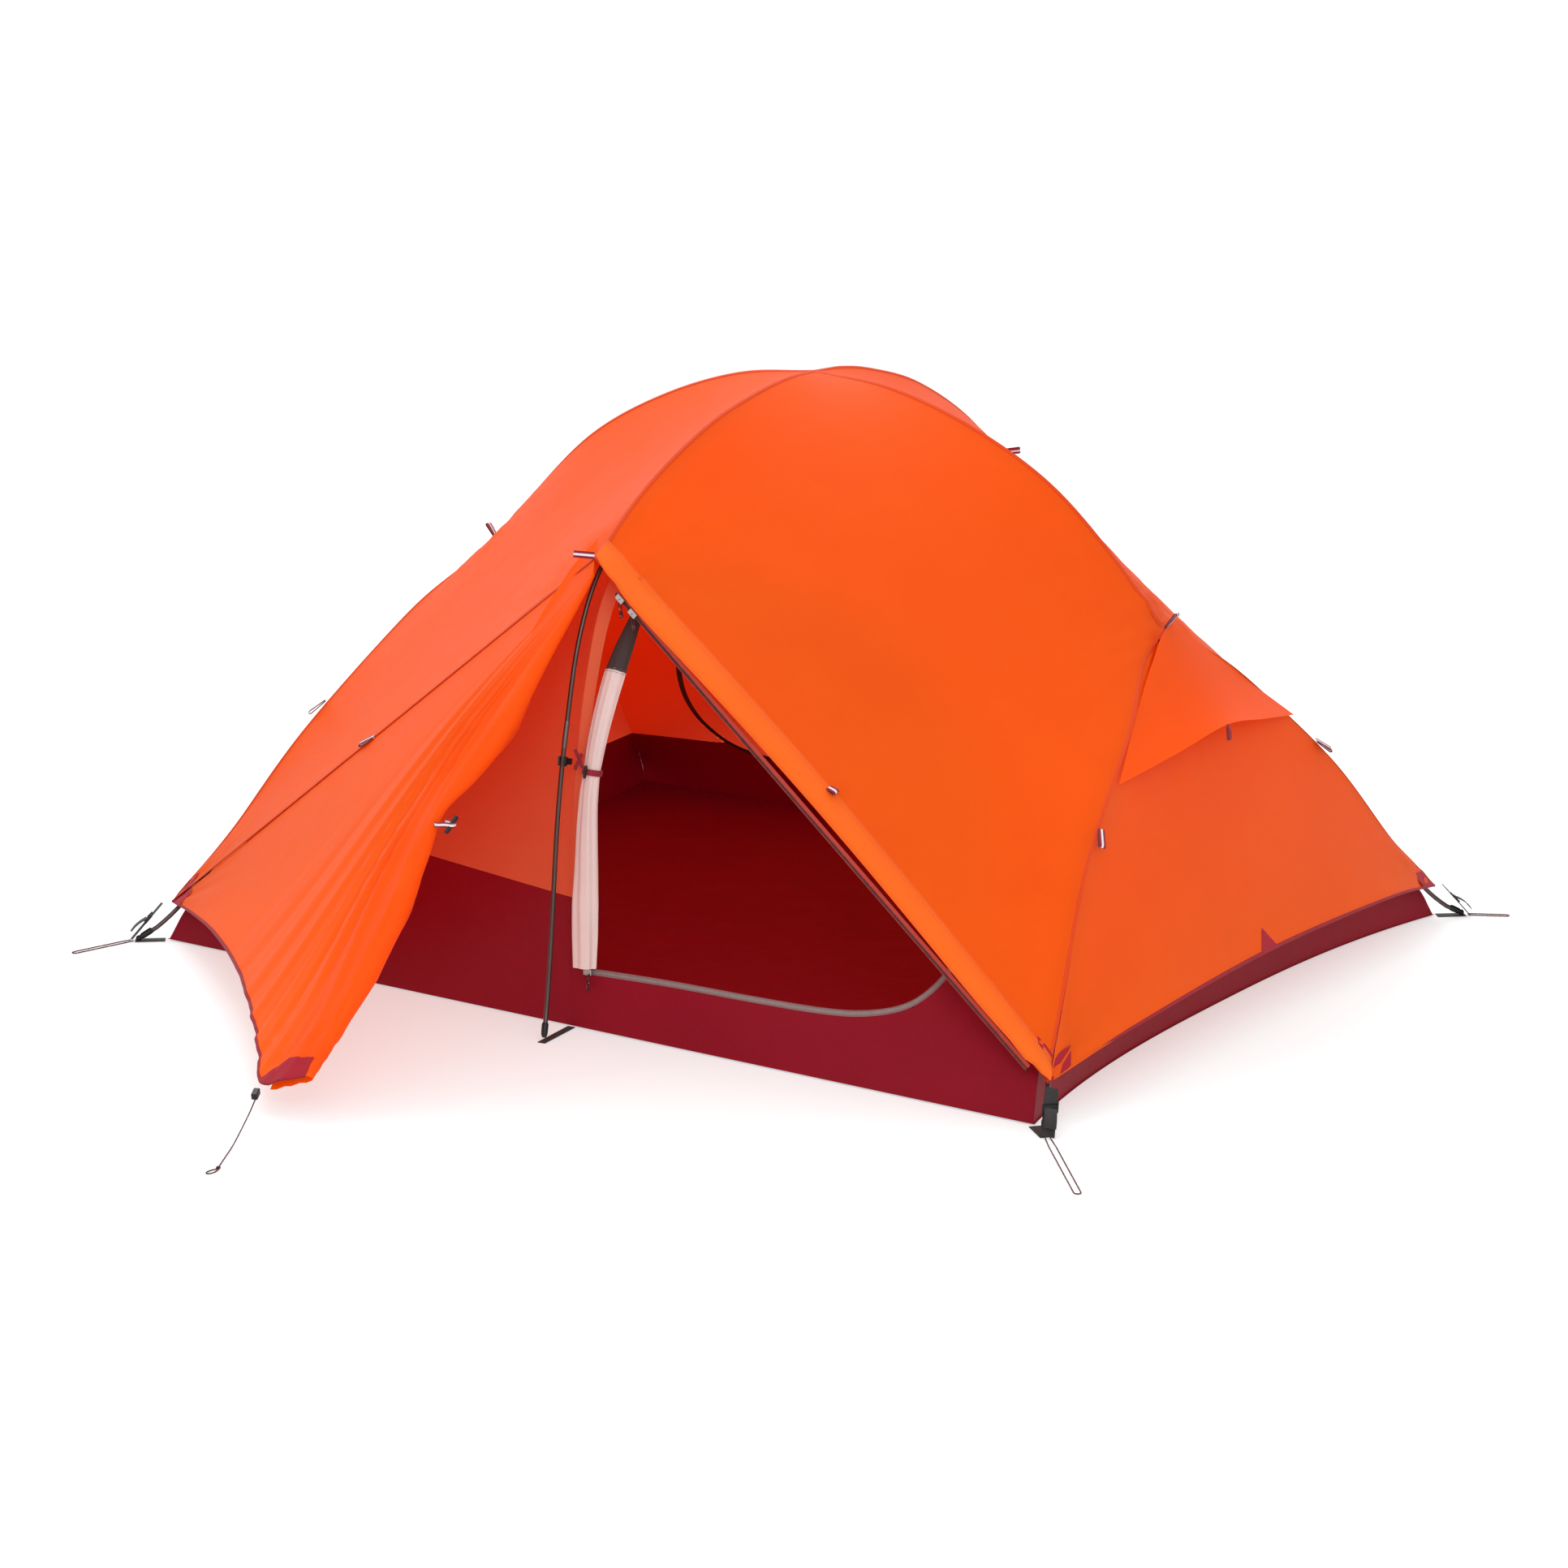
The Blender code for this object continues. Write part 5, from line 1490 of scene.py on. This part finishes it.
def bars(name, frame_at, boxes, material, body):
    """Small bevelled boxes in one object, each (centre, size) in the frame's own axes."""
    mesh = bpy.data.meshes.new(name)
    bm = bmesh.new()
    for centre, size in boxes:
        made = bmesh.ops.create_cube(bm, size=1.0)["verts"]
        for v in made:
            v.co = frame_at @ Vector([c + s * w for c, s, w in zip(centre, v.co, size)])
    bmesh.ops.bevel(bm, geom=bm.edges[:], offset=0.0006, segments=2, affect="EDGES")
    bmesh.ops.recalc_face_normals(bm, faces=bm.faces)
    bm.to_mesh(mesh)
    bm.free()
    mesh.shade_smooth()
    mesh.set_sharp_from_angle(angle=0.6)
    mesh.materials.append(material)
    return marked(placed(name, mesh), body)


def between(start, end, steps):
    """Points at equal steps on a straight line."""
    return [start.lerp(end, k / steps) for k in range(steps + 1)]


def strap(name, path, across, width, body, replaced=()):
    ribbon(name, path, across, width, WEBBING, STRAP_WEBBING, body, replaced)


for place, x, y in SIDES:
    out = Vector((0.042 * x, -0.036 * y, 0)).normalized()
    across = Vector((-out.y, out.x, 0))
    start = flipped((1.065, -0.864, 0.0009), x, y) + out * 0.004
    end = flipped((1.107, -0.9, 0.0009), x, y) + out * 0.012
    floor_name = f"floor_strap_{place}"
    strap(f"floor_webbing_{place}", between(start, end, 5), across, STRAP_WIDTH, "root", [floor_name])
    top = flipped((1.091, -0.849, 0.074), x, y)
    foot = flipped((1.107, -0.9, 0.004), x, y) + out * 0.02
    fly_name = f"fly_strap_{place}"
    strap(f"fly_webbing_{place}", between(top, foot, 10), across, STRAP_WIDTH, "fly", [fly_name])
    down = (foot - top).normalized()
    face = down.cross(across).normalized()
    if face.dot(out) < 0:
        face.negate()
    seat = top.lerp(foot, 0.42)
    axes = Matrix((across, down, across.cross(down))).transposed().to_4x4()
    axes.translation = seat
    flip = 1 if across.cross(down).dot(out) > 0 else -1
    rails = [((0.0142 * s, 0, 0.0012 * flip), (0.003, 0.022, 0.0044)) for s in (-1, 1)]
    steps = ((-0.0095, 0.0016), (0.0, 0.0032), (0.0095, 0.0016))
    rails += [((0, a, h * flip), (0.0284, 0.0032, 0.003)) for a, h in steps]
    bars(f"ladder_lock_{place}", axes, rails, BLACK_PLASTIC, "fly")
    tail_steps = ((0.002, 0.004), (0.016, 0.009), (0.032, 0.012), (0.046, 0.0115))
    tail_curve = curve_through([seat + down * run + face * rise for run, rise in tail_steps])
    strap(f"strap_tail_{place}", points_on(tail_curve, 9), across, 0.0235, "fly")
for place, sign in (("near", 1), ("far", -1)):
    start = flipped((0.008, -0.8675, 0.0012), sign, sign)
    end = flipped((0.022, -0.984, 0.0012), sign, sign)
    foot_name = f"foot_strap_{place}"
    strap(f"foot_webbing_{place}", between(start, end, 6), (1, 0, 0), 0.0175, "root", [foot_name])


# ---- Zips ----------------------------------------------------------------------------------
# Coil zips on woven tape: pale grey-brown round the near inner door, nearly black round the far
# one, and red under the fly's storm flap. Each slider has a pull of speckled cord.


def zip_tape_finish(name, colour):
    finish = Finish(name)
    flat = finish.place("UV")
    ribs = (finish.part(flat, 1) * 4200.0).sine()
    shade = finish.tint(colour, (finish.noise(finish.place(), 120.0) - 0.5) * 0.8)
    return finish.surface(shade, 0.7, finish.bump(ribs, 0.0002), **{"Sheen Weight": 0.2})


GREY_TAPE = zip_tape_finish("zip_tape_grey", (0.2, 0.12, 0.115))
DARK_TAPE = zip_tape_finish("zip_tape_dark", (0.05, 0.012, 0.014))
RED_TAPE = zip_tape_finish("zip_tape_red", (0.45, 0.03, 0.015))
PALE_COIL = plastic_finish("zip_coil_pale", (0.27, 0.21, 0.2), 0.35)
DARK_COIL = plastic_finish("zip_coil_dark", (0.03, 0.014, 0.016), 0.35)


def zip_line(inset, sign, lift):
    """Points round the door, this far inside its outline, on the near (1) or far (-1) wall."""
    points = [wall_point(float(x), float(z), lift) for x, z in inset_ring(inset)[1:DOOR_STEPS]]
    return [flipped(p, sign, sign) for p in points]


def zip_normals(base, raised):
    """Which way the wall faces at each point, from the same line at two heights."""
    return [(b - a).normalized() for a, b in zip(base, raised)]


for place, sign, cloth, coil in (("near", 1, GREY_TAPE, PALE_COIL), ("far", -1, DARK_TAPE, DARK_COIL)):
    inner, outer = zip_line(0.0165, sign, 0.0), zip_line(0.0055, sign, 0.0)
    middle, above = zip_line(0.011, sign, 0.0), zip_line(0.011, sign, 0.0007)
    across = [b - a for a, b in zip(inner, outer)]
    ribbon(
        f"zip_tape_{place}", middle, across, 0.0125, 0.001, cloth, "root", [f"inner_zip_{place}"]
    )
    teeth = [(above, zip_normals(middle, above))]
    tooth = (0.0013, 0.0048, 0.0009)
    row = rows_along(f"zip_teeth_{place}", teeth, BLOCKS, 0.0022, tooth, coil, "root", False)
    sewn = []
    for inset in (0.006, 0.0162):
        base, high = zip_line(inset, sign, 0.0006), zip_line(inset, sign, 0.0016)
        sewn.append((base, zip_normals(base, high)))
    stitch = (0.0032, 0.0009, 0.0006)
    rows_along(f"zip_stitches_{place}", sewn, BEADS, 0.0042, stitch, DARK_THREAD, "root")

EDGE_DIRECTION = (FLY_CORNER - DOOR_TOP).normalized()
EDGE_FACING = Vector((0, -1, 0.25))
EDGE_NORMAL = (EDGE_FACING - EDGE_DIRECTION * EDGE_FACING.dot(EDGE_DIRECTION)).normalized()
EDGE_BELOW = EDGE_DIRECTION.cross(EDGE_NORMAL).normalized()
if EDGE_BELOW.z > 0:
    EDGE_BELOW.negate()
EDGE_LENGTH = (FLY_CORNER - DOOR_TOP).length


def edge_point(along, below, out):
    return DOOR_TOP + EDGE_DIRECTION * along + EDGE_BELOW * below + EDGE_NORMAL * out


run = [edge_point(EDGE_LENGTH * (0.06 + 0.905 * k / 40), 0.0105, -0.001) for k in range(41)]
ribbon("fly_zip_tape", run, EDGE_BELOW, 0.014, 0.0012, RED_TAPE, "fly", ["fly_zip_near"])
coil_line = [p + EDGE_BELOW * 0.003 + EDGE_NORMAL * 0.0012 for p in run]
teeth = [(coil_line, [EDGE_NORMAL] * len(run))]
rows_along("fly_zip_teeth", teeth, BLOCKS, 0.0026, (0.0016, 0.005, 0.0015), DARK_COIL, "fly", False)


def pull_cord(name, start, hang, body):
    """A zip pull: a short doubled cord knotted at its end, swinging from the slider."""
    hang = Vector(hang)
    side = hang.cross(Vector((0, 1, 0))).normalized() * 0.0025
    turn = hang.normalized() * 0.0026
    path = [Vector(start) + hang * t + side * min(1, 4 * t) for t in (0, 0.1, 0.25, 0.5, 0.75, 1)]
    path += [Vector(start) + hang + turn]
    path += [Vector(start) + hang * t - side * min(1, 4 * t) for t in (1, 0.75, 0.5, 0.25, 0.1)]
    tube(name, curve_through(path), 50, [(0, 0.0013)], GUY_CORD, body, sides=10)
    blob(f"{name}_knot", Vector(start) + hang * 0.8, 0.0036, GUY_CORD, body, (1, 1, 1.3))


slider = Vector((0.04729, -0.86489, 0.12064))
eye = slider + Vector((0.006, -0.0065, -0.002))
pull_cord("inner_pull_near", eye, (0.002, -0.004, -0.03), "inner_zip_pull_near")
pull_cord("inner_pull_far", flipped(eye, -1, -1), (0, 0.004, -0.03), "inner_zip_pull_far")
for place, eye in (("upper", (0.07018, -0.7838, 0.85646)), ("lower", (0.10154, -0.78564, 0.83169))):
    start = Vector(eye) + EDGE_NORMAL * 0.004
    pull_cord(f"fly_pull_{place}", start, (0.003, 0.003, -0.036), f"fly_zip_{place}")


# ---- Small trims ---------------------------------------------------------------------------
# The tie round the rolled door, the tapes of the door toggle and of the cross pole's clips, the
# pull of the open hood, and the knot and end loop of the vestibule cord.


def curve_from(start, offsets):
    """A smooth curve through points that are given from one place."""
    return curve_through([start + Vector(offset) for offset in offsets])


tie_centre = roll_line(TIE_AT)
tie_axis = (roll_line(TIE_AT + 0.01) - roll_line(TIE_AT - 0.01)).normalized()
tie_side = (Vector((1, 0, 0)) - tie_axis * tie_axis.x).normalized()
tie_front = tie_axis.cross(tie_side)
ring = [
    tie_centre + tie_side * 0.0205 * math.cos(a) + tie_front * 0.0185 * math.sin(a)
    for a in [2 * math.pi * k / 30 for k in range(31)]
]
ribbon("door_tie_tape", ring, tie_axis, 0.012, 0.0013, RED_WEBBING, "root", ["door_tie"])
button_middle = tie_centre + tie_front * 0.0235
button_half = tie_axis * 0.013
button_line = curve_through([button_middle - button_half, button_middle, button_middle + button_half])
button_profile = [(0, 0.002), (0.15, 0.0034), (0.5, 0.003), (0.85, 0.0034), (1, 0.002)]
tube("door_tie_toggle", button_line, 16, button_profile, BLACK_PLASTIC, "root")

toggle_loop = curve_from(
    Vector((-0.0072, -1.21736, 0.4856)),
    (
        (-0.05, 0.012, -0.006),
        (-0.03, -0.009, -0.003),
        (-0.008, -0.0085, 0.0),
        (0.0065, -0.0055, 0.0),
        (0.0075, 0.0045, 0.0),
        (-0.004, 0.0085, 0.0),
        (-0.03, 0.02, -0.002),
    ),
)
toggle_path = points_on(toggle_loop, 24)
ribbon("door_toggle_tape", toggle_path, (0, 0.3, 1), 0.01, 0.0012, LOOP_WEBBING, "fly")

clip = Vector((0, -0.87954, 0.54253))
for sign, place in ((1, "near"), (-1, "far")):
    for k, lean in enumerate((-1, 1)):
        start = Vector((0.011, clip.y + 0.0245 + 0.0014 * k, clip.z + lean * 0.02))
        path = [start + Vector((0.018, 0, -0.034 * lean)) * t for t in (0, 0.25, 0.5, 0.75, 1)]
        path = [flipped(p, sign, sign) for p in path]
        across = (0.8 * lean, 0, 0.5)
        name = f"hook_tape_{place}_{k}"
        ribbon(name, path, across, 0.008, 0.0011, RED_WEBBING, "root")

hood_pull = curve_from(
    hood_tip + Vector((-0.004, 0.004, 0.0)),
    (
        (0, 0, 0),
        (0.009, -0.004, -0.012),
        (0.012, -0.006, -0.026),
        (0.008, -0.005, -0.032),
        (0.004, -0.002, -0.024),
        (0.001, 0.001, -0.006),
    ),
)
pull_path = points_on(hood_pull, 20)
ribbon("vent_pull_right", pull_path, (0.2, 1, 0), 0.008, 0.001, RED_WEBBING, "vent_right")

end = vestibule_points[-1]
end_loop = curve_from(
    end,
    (
        (0, 0.004, 0.0008),
        (0.005, -0.006, 0),
        (0.0055, -0.02, 0),
        (0, -0.026, 0),
        (-0.0055, -0.02, 0),
        (-0.005, -0.006, 0),
        (0, 0.004, -0.0002),
    ),
)
tube("vestibule_cord_loop", end_loop, 40, [(0, CORD_RADIUS)], GUY_CORD, "fly", sides=10)
knot_centre = end + Vector((0, 0.004, 0.0022))
blob("vestibule_cord_knot", knot_centre, 0.0036, GUY_CORD, "fly", (1, 1.5, 1))


# ---- Floor, light --------------------------------------------------------------------------
# A plain white studio floor that gives off half of its light itself, so that it stays white, under
# a white surround and two large soft lamps, one above and one in front.

ground_mesh = bpy.data.meshes.new("studio_floor")
ground_mesh.from_pydata([(-40, -40, 0), (40, -40, 0), (40, 40, 0), (-40, 40, 0)], [], [(0, 1, 2, 3)])
ground = placed("studio_floor", ground_mesh)
ground_finish = Finish("studio_floor")
matte = ground_finish.node("ShaderNodeBsdfDiffuse", {}, {"Color": (0.92, 0.92, 0.92)})
light = ground_finish.node("ShaderNodeEmission", {}, {"Color": (1, 1, 1), "Strength": 1.0})
lit = ground_finish.node("ShaderNodeMixShader", {}, {0: 0.5, 1: matte, 2: light})
ground_finish.node("ShaderNodeOutputMaterial", {}, {"Surface": lit})
ground_mesh.materials.append(ground_finish.material)
ground.location.z = -0.0005

world = bpy.data.worlds.new("surround")
world.use_nodes = True
world.node_tree.nodes["Background"].inputs["Color"].default_value = (1, 1, 1, 1)
world.node_tree.nodes["Background"].inputs["Strength"].default_value = 1.1
bpy.context.scene.world = world
bpy.context.scene.view_settings.view_transform = "Standard"

for name, place, aim, power, size in (
    ("lamp_above", (-2.6, 1.5, 5.2), (0, 0, 0.3), 200, 4.0),
    ("lamp_front", (3.4, -4.6, 3.0), (0.3, 0, 0.5), 90, 3.0),
):
    lamp_data = bpy.data.lights.new(name, "AREA")
    lamp_data.energy = power
    lamp_data.size = size
    lamp = placed(name, lamp_data)
    lamp.location = place
    lamp.rotation_mode = "QUATERNION"
    lamp.rotation_quaternion = (Vector(aim) - Vector(place)).to_track_quat("-Z", "Y")
